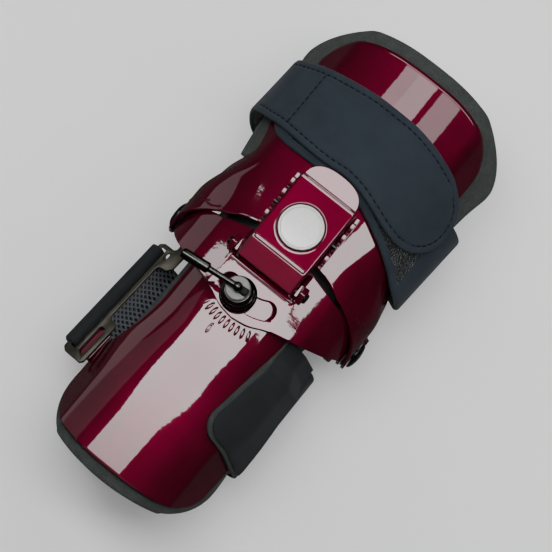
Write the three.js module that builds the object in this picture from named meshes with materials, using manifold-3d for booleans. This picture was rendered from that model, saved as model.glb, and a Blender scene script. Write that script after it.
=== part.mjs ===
// Bowling wrist support: three red metal plates for the back of the forearm, wrist and hand,
// with foam liners, a strap round the forearm, a strap round the palm, a latch and a clamp.
// Millimetres. X runs across the hand, Y from the elbow to the fingers, and Z up from the
// table, with the support lying on its two strap loops and the back of the hand upwards.
import * as THREE from 'three';
import { mergeVertices } from 'three/addons/utils/BufferGeometryUtils.js';
import Module from 'manifold-3d';

const wasm = await Module();
wasm.setup();

// Driving dimensions
const METAL = 1.6;
const FOAM = 5.5;
const GAP = 0.3;
const SOFT_GAP = 0.75;
const KNUCKLE_END = 121;
const ELBOW_END = -121;

const RIVET = { y: -2.6, z: 34, hole: 3.1, shank: 2.8, head: 6.85, ear: 8.5 };
const HAND_EAR_X = 51.5;
const WRIST_EAR_X = 48.6;
const PIVOT = { y: 0.2, shank: 2.5, hole: 2.9, head: 4.5 };
const STUD = { x: -3.8, y: -20.9, radius: 3.5 };
const SLOT = { width: 9.5, halfAngle: 29 };
const CREST = { forearm: 68, wrist: 70, hand: 74 };
const PLATE_MESH = { across: 32, along: 14 };
const FOAM_MESH = { across: 24, along: 12 };

// Finishes
const redMetal = { color: 0x7d0030, metalness: 0.9, roughness: 0.2 };
const foamBlack = { color: 0x404644, metalness: 0, roughness: 0.9 };
const strapBlue = { color: 0x262d34, metalness: 0, roughness: 0.8 };
const strapBlack = { color: 0x232629, metalness: 0, roughness: 0.85 };
const blackMetal = { color: 0x1b1b1c, metalness: 0.6, roughness: 0.35 };
const darkSteel = { color: 0x32302a, metalness: 0.8, roughness: 0.4 };
const gunmetal = { color: 0x6a6a68, metalness: 0.95, roughness: 0.25 };
const silver = { color: 0xd4d4d8, metalness: 0.4, roughness: 0.3 };
const nylon = { color: 0x101012, metalness: 0, roughness: 0.6 };

const support = new THREE.Group();

function addPiece(name, geometry, finish, parent = support) {
  const mesh = new THREE.Mesh(geometry, new THREE.MeshStandardMaterial(finish));
  mesh.name = name;
  parent.add(mesh);
}

const { lerp, clamp, degToRad } = THREE.MathUtils;

// Rows of numbers under column names.
const table = (names, rows) =>
  rows.map((row) => Object.fromEntries(names.map((name, k) => [name, row[k]])));

// Every column of a table at one place along its first column, on a smooth curve that
// passes through the rows and never swings past them.
function rowAt(rows, key, place) {
  const last = rows.length - 1;
  let k = 0;
  while (k < last - 1 && rows[k + 1][key] < place) k += 1;
  const span = rows[k + 1][key] - rows[k][key];
  const f = clamp((place - rows[k][key]) / span, 0, 1);
  const secant = (m, name) => (rows[m + 1][name] - rows[m][name]) / (rows[m + 1][key] - rows[m][key]);
  const slope = (m, name) => {
    if (m === 0 || m === last) return secant(Math.min(m, last - 1), name);
    const before = secant(m - 1, name);
    const after = secant(m, name);
    return before * after <= 0 ? 0 : (2 * before * after) / (before + after);
  };
  const blend = (name) =>
    rows[k][name] * (1 + 2 * f) * (1 - f) ** 2 + rows[k + 1][name] * f * f * (3 - 2 * f) +
    span * (slope(k, name) * f * (1 - f) ** 2 - slope(k + 1, name) * f * f * (1 - f));
  return Object.fromEntries(Object.keys(rows[0]).map((name) => [name, blend(name)]));
}

// A bent sheet between two skins, each a function of two numbers from 0 to 1. Its outer
// skin faces the way that its first number's direction crossed with its second's points.
function sheet(across, along, outer, inner) {
  const positions = [];
  const faces = [];
  for (const skin of [outer, inner]) {
    for (let i = 0; i <= across; i += 1) {
      for (let j = 0; j <= along; j += 1) positions.push(...skin(i / across, j / along));
    }
  }
  const at = (skin, i, j) => (skin * (across + 1) + i) * (along + 1) + j;
  const quad = (a, b, c, d) => faces.push(a, b, c, a, c, d);
  for (let i = 0; i < across; i += 1) {
    for (let j = 0; j < along; j += 1) {
      quad(at(0, i, j), at(0, i + 1, j), at(0, i + 1, j + 1), at(0, i, j + 1));
      quad(at(1, i, j), at(1, i, j + 1), at(1, i + 1, j + 1), at(1, i + 1, j));
    }
    quad(at(0, i, 0), at(1, i, 0), at(1, i + 1, 0), at(0, i + 1, 0));
    quad(at(0, i, along), at(0, i + 1, along), at(1, i + 1, along), at(1, i, along));
  }
  for (let j = 0; j < along; j += 1) {
    quad(at(0, 0, j), at(0, 0, j + 1), at(1, 0, j + 1), at(1, 0, j));
    quad(at(0, across, j), at(1, across, j), at(1, across, j + 1), at(0, across, j + 1));
  }
  const geometry = new THREE.BufferGeometry();
  geometry.setAttribute('position', new THREE.Float32BufferAttribute(positions, 3));
  geometry.setIndex(faces);
  return geometry;
}

// Booleans
function toSolid(geometry) {
  const bare = geometry.clone();
  bare.deleteAttribute('normal');
  bare.deleteAttribute('uv');
  const merged = mergeVertices(bare, 1e-4);
  const vertProperties = new Float32Array(merged.attributes.position.array);
  const triVerts = new Uint32Array(merged.index.array);
  return new wasm.Manifold(new wasm.Mesh({ numProp: 3, vertProperties, triVerts }));
}

function toGeometry(solid) {
  const { vertProperties, triVerts } = solid.getMesh();
  const geometry = new THREE.BufferGeometry();
  geometry.setAttribute('position', new THREE.Float32BufferAttribute(vertProperties, 3));
  geometry.setIndex(Array.from(triVerts));
  return geometry;
}

const joined = (...shapes) => toGeometry(shapes.map(toSolid).reduce((a, b) => a.add(b)));
const carved = (shape, ...cutters) =>
  toGeometry(cutters.map(toSolid).reduce((a, b) => a.subtract(b), toSolid(shape)));

// Turned pieces and blocks
const turned = (profile, sides = 24) =>
  new THREE.LatheGeometry(profile.map(([radius, height]) => new THREE.Vector2(radius, height)), sides);
const turnedAlongX = (profile, sides) => turned(profile, sides).rotateZ(-Math.PI / 2);
const turnedUp = (profile, sides) => turned(profile, sides).rotateX(Math.PI / 2);

function rod(radius, x0, x1, y, z, sides = 16) {
  const profile = [[0, x0], [radius, x0], [radius, x1], [0, x1]];
  return turnedAlongX(profile, sides).translate(0, y, z);
}

function post(radius, z0, z1, x, y, sides = 24) {
  return turnedUp([[0, z0], [radius, z0], [radius, z1], [0, z1]], sides).translate(x, y, 0);
}

function block(x0, x1, y0, y1, z0, z1) {
  const box = new THREE.BoxGeometry(x1 - x0, y1 - y0, z1 - z0);
  return box.translate((x0 + x1) / 2, (y0 + y1) / 2, (z0 + z1) / 2);
}

// A flat outline of [y, z] points, stretched from x0 to x1.
function sideProfile(points, x0, x1) {
  const shape = new THREE.Shape(points.map(([y, z]) => new THREE.Vector2(y, z)));
  const extruded = new THREE.ExtrudeGeometry(shape, { depth: x1 - x0, bevelEnabled: false });
  return extruded.rotateY(Math.PI / 2).rotateX(Math.PI / 2).translate(x0, 0, 0);
}

// Plates and liners
// A trough seen along Y: a crown arc, a tighter bend, and a straight flange. The answer
// takes the length round the trough from its crest, and how far above the skin to stand.
function troughSection({ flangeX, crest, crownR, bendR, lean }) {
  const end = degToRad(lean);
  const start = Math.asin((flangeX - bendR * Math.sin(end)) / (crownR - bendR));
  const crownLength = crownR * start;
  const bendLength = bendR * (end - start);
  return (length, lift) => {
    const s = Math.abs(length);
    const onCrown = s < crownLength;
    const angle = onCrown ? s / crownR : Math.min(start + (s - crownLength) / bendR, end);
    const hub = onCrown ? 0 : crownR - bendR;
    const radius = onCrown ? crownR : bendR;
    const straight = Math.max(s - crownLength - bendLength, 0);
    const x = hub * Math.sin(start) + (radius + lift) * Math.sin(angle) + straight * Math.cos(angle);
    const z = crest - crownR + hub * Math.cos(start) + (radius + lift) * Math.cos(angle) -
      straight * Math.sin(angle);
    return [Math.sign(length) * x, z];
  };
}

// A point of a trough that changes along Y.
function onTrough(sections, length, y, lift) {
  const [x, z] = troughSection(rowAt(sections, 'y', y))(length, lift);
  return [x, y, z];
}

// A trough-shaped sheet. edge(y) is its half width measured round the trough; low(t) and
// high(t) are its ends, where t is 0 on the crest and 1 on the edge.
function troughSheet({ sections, edge, low, high, lift = 0, thickness, mesh }) {
  const skin = (depth) => (u, v) => {
    const t = Math.sin((u - 0.5) * Math.PI * 0.86) / Math.sin(0.43 * Math.PI);
    const y = lerp(low(Math.abs(t)), high(Math.abs(t)), v);
    return onTrough(sections, t * edge(y), y, lift - depth);
  };
  return sheet(mesh.across, mesh.along, skin(0), skin(thickness));
}

// How far a rounded corner of the given reach has drawn an end back at t.
function cornerDraw(t, from, reach) {
  const along = clamp((t - from) / (1 - from), 0, 1);
  return reach * (1 - Math.sqrt(1 - along ** 2));
}

// Forearm plate and liner
const forearmSections = table(['y', 'flangeX', 'crest', 'crownR', 'bendR', 'lean'], [
  [-121, 36.5, 66, 60, 14, 65],
  [-64, 35.5, 67, 51, 13, 68],
  [-38, 35, 67.8, 44, 12, 70],
  [-20, 35, CREST.forearm, 44, 12, 70],
  [10, 35, CREST.forearm, 44, 12, 70],
]);
const forearmEdge = table(['y', 'half'], [
  [-96, 51], [-85, 52.5], [-76, 53.5], [-70, 48], [-64.8, 39.5], [-56, 35], [-42, 33],
  [-20, 33], [-12, 43], [-6, 47], [5, 47],
]);
const forearmFoamEdge = table(['y', 'half'], [
  [-100, 57], [-85, 57], [-74, 54], [-65, 44.5], [-56, 39.6], [-42, 37.4], [-20, 37.4], [-10, 44], [5, 44],
]);
const forearmPlate = { low: -115.1, high: 4, corner: 20, cornerFrom: 0.08 };
const forearmFoam = { low: ELBOW_END, high: 2, corner: 25, cornerFrom: 0 };

function forearmShell() {
  return troughSheet({
    sections: forearmSections,
    edge: (y) => rowAt(forearmEdge, 'y', y).half,
    low: (t) => forearmPlate.low + cornerDraw(t, forearmPlate.cornerFrom, forearmPlate.corner),
    high: () => forearmPlate.high,
    thickness: METAL,
    mesh: PLATE_MESH,
  });
}

function forearmLiner() {
  return troughSheet({
    sections: forearmSections,
    edge: (y) => rowAt(forearmFoamEdge, 'y', y).half,
    low: (t) => forearmFoam.low + cornerDraw(t, forearmFoam.cornerFrom, forearmFoam.corner),
    high: () => forearmFoam.high,
    lift: -METAL - SOFT_GAP,
    thickness: FOAM,
    mesh: FOAM_MESH,
  });
}

// Strap bracket: a stamped steel frame on the left, leaning down outwards. Its own
// coordinates are u across, v along and w up from its middle plane.
const bracket = { x: -45, y: -50, z: 40, tilt: -20, yaw: -3.3, thickness: 1.6 };
const bracketLoop = { bar: -5.85, fold: 2.5, strap: 2 };
const bracketFrame = new THREE.Group();
bracketFrame.position.set(bracket.x, bracket.y, bracket.z);
bracketFrame.rotation.set(0, degToRad(bracket.tilt), degToRad(bracket.yaw), 'ZYX');
bracketFrame.updateMatrix();

function outlined(points, holes, w0, w1) {
  const shape = new THREE.Shape(points.map(([u, v]) => new THREE.Vector2(u, v)));
  shape.holes = holes;
  const plate = new THREE.ExtrudeGeometry(shape, { depth: w1 - w0, bevelEnabled: false, curveSegments: 6 });
  return plate.translate(0, 0, w0);
}

function roundSlot(u, v, width, length) {
  const hole = new THREE.Path();
  const reach = (length - width) / 2;
  hole.absarc(u, v + reach, width / 2, 0, Math.PI);
  hole.absarc(u, v - reach, width / 2, Math.PI, 2 * Math.PI);
  return hole;
}

const bracketOutline = [
  [-6.8, 30.2], [-4.6, 31.8], [0.9, 31.8], [1.9, 32.8], [1.9, 41], [6.6, 41], [7.4, 40.2],
  [7.4, 24.5], [5.2, 21.8], [1.6, 21.3], [0.6, 20], [0.6, -9.6], [1.8, -11], [5, -11.4],
  [6.2, -13], [6.2, -34], [4.8, -35.6], [-4.8, -35.6], [-6.8, -34],
];
const strapSlot = { u0: -4.9, u1: -2, v0: -31.4, v1: 29.6 };

function bracketPlate() {
  const slot = new THREE.Path([
    new THREE.Vector2(strapSlot.u0, strapSlot.v0),
    new THREE.Vector2(strapSlot.u1, strapSlot.v0),
    new THREE.Vector2(strapSlot.u1, strapSlot.v1),
    new THREE.Vector2(strapSlot.u0, strapSlot.v1),
  ]);
  const holes = [slot, roundSlot(1.9, -24, 3.4, 15), roundSlot(0.4, 27.5, 1.6, 3.4)];
  const half = bracket.thickness / 2;
  return outlined(bracketOutline, holes, -half, half).applyMatrix4(bracketFrame.matrix);
}

// A tongue of the forearm plate that shows red through the bracket's lower slot.
const tongue = { u0: -0.4, u1: 7.6, v0: -32, v1: -16, w0: -2.6, w1: -1.2 };

function forearmTongue() {
  const { u0, u1, v0, v1, w0, w1 } = tongue;
  return block(u0, u1, v0, v1, w0, w1).applyMatrix4(bracketFrame.matrix);
}

// Forearm pad: the padded end of the strap, lying over the right side of the plate.
const pad = {
  lift: 0.4, thick: 4.5, thin: 1.1, thinFrom: -37, thinTo: -29,
  leftHigh: 26.5, leftLow: 19.8, right: 45, high: -20.6, low: -76, slant: 4.5, corner: 8,
};

function forearmPad() {
  const skin = (outside) => (u, v) => {
    const bottom = pad.low - pad.slant * u + cornerDraw(1 - u, 0.78, pad.corner);
    const y = lerp(bottom, pad.high, v);
    const left = lerp(pad.leftHigh, pad.leftLow, clamp((-26 - y) / 42, 0, 1));
    const full = lerp(pad.thick, pad.thin, clamp((y - pad.thinFrom) / (pad.thinTo - pad.thinFrom), 0, 1));
    return onTrough(forearmSections, lerp(left, pad.right, u), y, pad.lift + (outside ? full : 0));
  };
  return sheet(14, 14, skin(true), skin(false));
}

// Straps: a band through a table of its middle line in the XZ plane, with the middle and
// half of its width along Y. drift is how far it slants towards +X for each mm along Y.
// trim(place) narrows the band at its ends, where place counts table rows. The band is
// pressed flat where it lies on the table.
const bandTable = (rows) =>
  table(['x', 'z', 'mid', 'half', 'drift', 'at'], rows.map((row, k) => [...row, k]));

function strapBand({ rows, thickness, steps, trim }) {
  const spline = (first, second) =>
    new THREE.CatmullRomCurve3(rows.map((row) => new THREE.Vector3(row[first], 0, row[second])));
  const line = spline('x', 'z');
  const width = spline('mid', 'half');
  const last = rows.length - 1;
  const skin = (side) => (u, v) => {
    const point = line.getPoint(u);
    const tangent = line.getTangent(u);
    const { x: mid, z: half } = width.getPoint(u);
    const reach = (2 * v - 1) * (half - trim(u * last, last));
    const slant = rowAt(rows, 'at', u * last).drift * reach;
    const lift = (side * thickness) / 2;
    const z = Math.max(point.z + tangent.x * lift, 0);
    return [point.x - tangent.z * lift + slant, mid + reach, z];
  };
  return sheet(steps, 2, skin(1), skin(-1));
}

// Forearm strap: from inside the pad, down the right side, flat under the forearm, up
// through the bracket's slot, over its outer bar and down the outside again.
const forearmStrap = { mid: -50.8, half: 29.6, yaw: 0.058, foldSteps: 4 };

function forearmStrapRows() {
  const { mid, half, yaw, foldSteps } = forearmStrap;
  const tilt = degToRad(bracket.tilt);
  const fold = [];
  for (let k = 0; k <= foldSteps; k += 1) {
    const turn = (Math.PI * k) / foldSteps;
    const u = bracketLoop.bar + bracketLoop.fold * Math.cos(turn);
    const w = bracketLoop.fold * Math.sin(turn);
    const x = bracket.x + u * Math.cos(tilt) + w * Math.sin(tilt);
    const z = bracket.z - u * Math.sin(tilt) + w * Math.cos(tilt);
    fold.push([x, z, mid, half, yaw]);
  }
  const under = bracketLoop.strap / 2;
  return bandTable([
    [41.2, 47.4, mid, half, 0], [43, 41, mid, half, 0], [44.4, 33, mid, half, 0], [44.6, 24, mid, half, 0],
    [42, 14.5, mid, half, 0], [35, 5.5, mid, half, 0], [25, 1.5, mid, half, 0], [18, under, mid, half, 0],
    [0, under, mid, half, 0], [-16, under, mid, half, 0], [-23, 1.5, mid, half, 0],
    [-33, 6, mid, half, 0.01], [-41, 14, mid, half, 0.03], [-46, 25, mid, half, 0.05],
    [-47.9, 34, mid, half, yaw], ...fold,
    [-53.4, 31, mid, half, yaw], [-51.6, 22, mid, half, 0.05], [-47.5, 14.2, mid, half, 0.04],
  ]);
}

// Hand strap: one long band. It starts on the plate at the left, slants over to the right
// side, runs under the palm, comes up the left side and ends as a flap on top.
const handStrap = { thickness: 2.2, endReach: 2.4, endRound: 19 };
const handStrapRows = bandTable([
  [-40.6, 62.9, 70, 18.6, 0], [-36.2, 67.3, 67, 19.2, 0], [-30, 70.6, 65.6, 19.6, 0],
  [-20, 73.4, 65.2, 19.8, 0], [-10, 75, 65, 19.8, 0], [0, 75.5, 64.6, 19.9, 0],
  [10, 75, 63.9, 20, 0], [20, 73.4, 60.8, 20.3, 0], [30, 70.6, 56.5, 20.5, 0],
  [36.2, 67.3, 53.5, 20.8, 0], [41.5, 62.4, 51, 21.2, 0], [46.2, 58.9, 48, 21.6, 0],
  [50.4, 54.6, 46.2, 21.9, 0.02], [53.4, 49, 46, 22, 0.04], [54.8, 42, 46.2, 22, 0.06],
  [54.2, 33, 47, 21.5, 0.08], [52.3, 23, 49, 20.5, 0.1], [47.8, 13, 52, 19.6, 0.1],
  [39.6, 5, 56, 19, 0.06], [28, 1.7, 60, 18.6, 0], [19, 1.1, 62, 18.4, 0], [0, 1.1, 64.5, 18, 0],
  [-19, 1.1, 67, 17.6, 0], [-28, 1.7, 68, 17.2, 0], [-40, 5, 69, 16.8, 0.03],
  [-48.8, 13, 69.8, 16.2, 0.07], [-53.2, 23, 70.2, 15.8, 0.1], [-54.7, 33, 70.4, 15.4, 0.1],
  [-54.9, 43, 70.5, 15.2, 0.08], [-53.8, 51, 70.3, 15.4, 0.04], [-50.8, 58, 69.6, 16, 0],
  [-46, 63.6, 69, 16.6, 0], [-39.6, 69.2, 68.8, 17.2, 0], [-32, 73, 68.6, 18.2, 0],
  [-20, 76.6, 68.2, 19.4, 0], [-10, 78, 68.3, 20, 0], [0, 78.4, 68.6, 19.6, 0],
  [10, 78, 67.8, 20.2, 0], [20, 76.6, 65.6, 21.1, 0], [30, 73.7, 63, 21.4, 0],
  [37.8, 69.6, 61.6, 20.6, 0], [43.4, 65.2, 61.2, 19.6, 0], [47.8, 61.4, 61.4, 19.2, 0],
  [51.2, 57.6, 62, 19, 0],
]);

// The flap's end is round; the band's first end is cut square.
function flapTrim(place, last) {
  const { endReach, endRound } = handStrap;
  const f = clamp((place - (last - endReach)) / endReach, 0, 1);
  return (endRound - 2) * (1 - Math.sqrt(1 - f * f));
}

// Wrist plate, with the clamp's arc slot, the swivel pin's hole and its two ears
const wristSections = table(['y', 'flangeX', 'crest', 'crownR', 'bendR', 'lean'], [
  [-40, WRIST_EAR_X, CREST.wrist, 66, 20, 90],
  [20, WRIST_EAR_X, CREST.wrist, 66, 20, 90],
]);
const wristLow = table(['t', 'y'], [
  [0, -30.4], [0.1, -29.2], [0.22, -25.6], [0.46, -20.6], [0.63, -16.8], [0.78, -12.6],
  [0.9, -10.8], [1, -10.5],
]);
const wristHigh = table(['t', 'y'], [
  [0, 7.2], [0.2, 6.9], [0.34, 5.2], [0.45, 3.4], [0.7, 3], [0.88, 4.4], [1, 5],
]);

// Hand plate and liner
const handSections = table(['y', 'flangeX', 'crest', 'crownR', 'bendR', 'lean'], [
  [-15, HAND_EAR_X, CREST.hand, 70, 20, 90],
  [10, HAND_EAR_X, CREST.hand, 70, 20, 90],
  [38, 40, CREST.hand, 84, 16, 60],
  [60, 37.8, CREST.hand, 90, 14, 52],
  [122, 37.3, CREST.hand, 90, 14, 50],
]);
const handLow = table(['t', 'y'], [
  [0, 10.8], [0.2, 10.7], [0.34, 9], [0.5, 3.9], [0.67, -3.6], [0.8, -9], [0.9, -11], [1, -11],
]);
const handEdge = table(['y', 'half'], [
  [5.8, 72.5], [12, 71.5], [20, 68.5], [27, 61.5], [33, 51], [39, 45.2], [46, 47], [54, 50.5],
  [64, 51.5], [122, 51.5],
]);
const handPlate = { high: 110.4, corner: 20, cornerFrom: 0.25 };
const handFoam = { low: 15, sideLow: 36, high: KNUCKLE_END, corner: 30, cornerFrom: 0, half: 64 };

// Length round a trough from its crest down to the height z on its upright ear.
function lengthToEar(sections, z) {
  const { flangeX, crest, crownR, bendR } = sections[0];
  const start = Math.asin((flangeX - bendR) / (crownR - bendR));
  const flangeTop = crest - crownR + (crownR - bendR) * Math.cos(start);
  return crownR * start + bendR * (Math.PI / 2 - start) + flangeTop - z;
}

// Half width at y where the edge runs round the rivet in the ear's circle.
function earEdge(sections, y) {
  const reach = Math.min(Math.abs(y - RIVET.y), RIVET.ear - 0.1);
  return lengthToEar(sections, RIVET.z) + Math.sqrt(RIVET.ear ** 2 - reach ** 2);
}

function handHalf(y) {
  return y < handEdge[0].y ? earEdge(handSections, y) : rowAt(handEdge, 'y', y).half;
}

function alongX(radius) {
  return rod(radius, -60, 60, RIVET.y, RIVET.z, 24);
}

function arcSlot() {
  const radius = Math.hypot(STUD.x, STUD.y - PIVOT.y);
  const middle = -Math.PI / 2;
  const half = degToRad(SLOT.halfAngle);
  const end = (turn) => [radius * Math.cos(turn), radius * Math.sin(turn)];
  const shape = new THREE.Shape();
  shape.absarc(0, 0, radius + SLOT.width / 2, middle - half, middle + half);
  shape.absarc(...end(middle + half), SLOT.width / 2, middle + half, middle + half + Math.PI);
  shape.absarc(0, 0, radius - SLOT.width / 2, middle + half, middle - half, true);
  shape.absarc(...end(middle - half), SLOT.width / 2, middle - half + Math.PI, middle - half + 2 * Math.PI);
  const prism = new THREE.ExtrudeGeometry(shape, { depth: 20, bevelEnabled: false, curveSegments: 8 });
  return prism.translate(0, PIVOT.y, CREST.wrist - 10);
}

function wristPlate() {
  const shell = troughSheet({
    sections: wristSections,
    edge: (y) => earEdge(wristSections, clamp(y, RIVET.y - RIVET.ear, RIVET.y + RIVET.ear)),
    low: (t) => rowAt(wristLow, 't', t).y,
    high: (t) => rowAt(wristHigh, 't', t).y,
    thickness: METAL,
    mesh: PLATE_MESH,
  });
  const pivotHole = post(PIVOT.hole, CREST.wrist - 10, CREST.wrist + 10, 0, PIVOT.y);
  return carved(shell, arcSlot(), pivotHole, alongX(RIVET.hole));
}

// Hand plate, with its ears outside the wrist plate's
function handShell() {
  const shell = troughSheet({
    sections: handSections,
    edge: handHalf,
    low: (t) => rowAt(handLow, 't', t).y,
    high: (t) => handPlate.high - cornerDraw(t, handPlate.cornerFrom, handPlate.corner),
    thickness: METAL,
    mesh: { across: 32, along: 20 },
  });
  return carved(shell, alongX(RIVET.hole));
}

function handLiner() {
  const { low, sideLow, high, corner, cornerFrom, half } = handFoam;
  return troughSheet({
    sections: handSections,
    edge: () => half,
    low: (t) => lerp(low, sideLow, THREE.MathUtils.smoothstep(t, 0.45, 0.85)),
    high: (t) => high - cornerDraw(t, cornerFrom, corner),
    lift: -METAL - SOFT_GAP,
    thickness: FOAM,
    mesh: FOAM_MESH,
  });
}

// Toothed rails on the hand plate, one each side of the latch
const rail = {
  x0: 15.9, x1: 17.6, y0: 9, y1: 38.5, top: 77.2, foot: 72.6, shoulder: 3,
  pitch: 6.2, depth: 1.2, teeth: 4, first: 11.5, steps: 8,
};

function toothedRail() {
  const { y0, y1, top, foot, shoulder, pitch, depth, teeth, first, steps } = rail;
  const crown = [];
  const end = first + pitch * teeth;
  for (let k = 0; k <= teeth * steps; k += 1) {
    const dip = (1 - Math.cos((2 * Math.PI * k) / steps)) / 2;
    crown.push([first + (pitch * k) / steps, top - depth * dip]);
  }
  return sideProfile([
    [y0, foot], [y1, foot], [y1, foot + shoulder], [end + 1, top], ...crown.reverse(),
    [first - 1, top], [y0, foot + shoulder],
  ], rail.x0, rail.x1);
}

// Side rivets, washers and the wrist ear's soft pad
const rivetProfile = [
  [0, 45.2], [5, 45.2], [5, 46.6], [RIVET.shank, 46.6], [RIVET.shank, 51.85], [RIVET.head, 51.85],
  [6.5, 52.7], [5.2, 53.6], [2.8, 54.3], [0, 54.5],
];
const washerProfile = [[RIVET.hole, 48.9], [8, 48.9], [8, 49.6], [RIVET.hole, 49.6], [RIVET.hole, 48.9]];
const atRivet = (geometry) => geometry.translate(0, RIVET.y, RIVET.z);
const earPad = { x0: 41, x1: 44.9, radius: 11.4, y: -2.2, z: 37 };

// Latch base, hinge pin and nuts
const hinge = { y: -5, z: 77, pin: 1.6, hole: 1.9, dome: 2.7, reach: 21.9 };
const base = { x: 17.3, inner: 15.9, y0: -9.6, y1: 5.4, z0: 70.3, z1: 71.7, top: 79.4 };
const latch = {
  x: 15.3, wall: 1.4, low: -8.2, bend: 1.8, high: 37.4, tab: 46.9, lowZ: 80.8, flatZ: 83.2, tabZ: 84.7,
  foot: 73.7, rise: 77.9, tabHalf: 13,
};
const emblem = { y: 17.6, radius: 10.2, recess: 10.7, floor: 82.6 };

function latchBase() {
  const { x, inner, y0, y1, z0, z1, top } = base;
  const lug = [[y0 + 1, z0], [y1, z0], [y1, z0 + 4], [-1.6, top], [-7.4, top], [y0 + 1, top - 2.4]];
  const floor = block(-x, x, y0, y1, z0, z1);
  const whole = joined(floor, sideProfile(lug, inner, x), sideProfile(lug, -x, -inner));
  const pinHole = rod(hinge.hole, -30, 30, hinge.y, hinge.z);
  return carved(whole, pinHole, post(PIVOT.hole, z0 - 5, z1 + 5, 0, PIVOT.y));
}

function hexNut(x0, x1) {
  const profile = [[hinge.hole, x0], [4.5, x0], [4.5, x1], [hinge.hole, x1], [hinge.hole, x0]];
  return turnedAlongX(profile, 6).translate(0, hinge.y, hinge.z);
}

function hingePin() {
  const { pin, dome, reach } = hinge;
  const seat = reach - 1.3;
  const profile = [
    [0, -reach], [2, -reach + 0.2], [dome, -seat], [pin, -seat],
    [pin, seat], [dome, seat], [2, reach - 0.2], [0, reach],
  ];
  return turnedAlongX(profile, 16).translate(0, hinge.y, hinge.z);
}

// Latch: a folded box open underneath, with a round thumb tab, a raised rib and a recess
function latchBox() {
  const { x, wall, low, bend, high, tab, lowZ, flatZ, tabZ, foot, rise, tabHalf } = latch;
  const top = [
    [low, lowZ - wall], [low, lowZ], [bend, flatZ], [high, flatZ], [high, flatZ - wall], [bend, flatZ - wall],
  ];
  const side = [
    [low + 0.6, foot], [-1, foot], [4, rise - 2.6], [8, rise], [high, rise],
    [high, flatZ - 0.2], [bend, flatZ - 0.2], [low + 0.6, lowZ - 0.2],
  ];
  const cover = sideProfile(top, -x, x);
  const wallLeft = sideProfile(side, -x, -x + wall);
  const wallRight = sideProfile(side, x - wall, x);
  const tabShape = new THREE.Shape();
  tabShape.moveTo(-tabHalf - 0.6, 0);
  tabShape.lineTo(tabHalf + 0.6, 0);
  tabShape.lineTo(tabHalf, 1.6);
  tabShape.quadraticCurveTo(tabHalf - 1.4, tab - high, 0, tab - high);
  tabShape.quadraticCurveTo(-tabHalf + 1.4, tab - high, -tabHalf, 1.6);
  const slope = Math.atan2(tabZ - flatZ, tab - high);
  const thumb = new THREE.ExtrudeGeometry(tabShape, { depth: wall, bevelEnabled: false, curveSegments: 8 });
  thumb.rotateX(slope).translate(0, high - 0.5, flatZ - wall);
  const rib = block(-13.7, 13.7, bend - 0.2, bend + 1.5, flatZ - 0.7, flatZ + 0.6);
  const whole = joined(cover, wallLeft, wallRight, thumb, rib);
  const recess = post(emblem.recess, emblem.floor, emblem.floor + 5, 0, emblem.y, 40);
  const hingeHole = rod(hinge.hole, -30, 30, hinge.y, hinge.z);
  const pawlHole = rod(pawl.hole, -30, 30, pawl.y, pawl.z);
  return carved(whole, recess, hingeHole, pawlHole);
}

// The latch's cross pin, which sits in a notch of each rail
const pawl = { y: 20.8, z: 79.3, radius: 1.2, hole: 1.5, reach: 17.4 };

function crossPin() {
  return rod(pawl.radius, -pawl.reach, pawl.reach, pawl.y, pawl.z);
}

// Clamp: stud, hub, cap and lever, square to the wrist plate where they stand
const clampTilt = Math.asin(STUD.x / (66 - METAL));
const clampFrame = new THREE.Group();
clampFrame.position.set(STUD.x, STUD.y, CREST.wrist);
clampFrame.rotation.y = clampTilt;
support.add(clampFrame);

const clampPost = { foot: -1.6, top: 5.6 };
const hubProfile = [
  [0, 6], [3.8, 6], [3.8, 0.6], [8.5, 0.6], [8.5, 1.8], [7.8, 2.6], [6.9, 3.2], [6, 7], [5.4, 7.6],
  [5.4, 10.6], [0, 10.6],
];
const capProfile = [[0, 10.9], [5.3, 10.9], [5.3, 13], [4.7, 13.5], [0, 13.5]];
const lever = { z: 15.6, turn: 186, grip: 14.8, reach: 28.8 };
const leverProfile = [
  [0, -1.9], [1.35, -1.35], [1.9, 0], [1.35, 1.35], [1.2, 1.5], [1.2, lever.grip], [2.1, lever.grip],
  [2.5, lever.grip + 0.5], [2.5, lever.reach - 1.2], [1.7, lever.reach], [0, lever.reach],
];

// Assembly: forearm pieces
addPiece('forearm_plate', joined(forearmShell(), forearmTongue()), redMetal);
addPiece('forearm_foam', forearmLiner(), foamBlack);
addPiece('strap_bracket', bracketPlate(), darkSteel);
addPiece('forearm_pad', forearmPad(), strapBlack);
const forearmBand = { rows: forearmStrapRows(), thickness: bracketLoop.strap, steps: 66, trim: () => 0 };
addPiece('forearm_strap', strapBand(forearmBand), strapBlack);
addPiece('swivel_pin', joined(
  post(PIVOT.shank, CREST.forearm + GAP, base.z1 + 1, 0, PIVOT.y),
  post(PIVOT.head, base.z1 + GAP, base.z1 + 1.8, 0, PIVOT.y),
), blackMetal);
addPiece('clamp_stud', turnedUp([
  [0, clampPost.foot], [STUD.radius, clampPost.foot], [STUD.radius, clampPost.top], [0, clampPost.top],
]), darkSteel, clampFrame);

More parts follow.
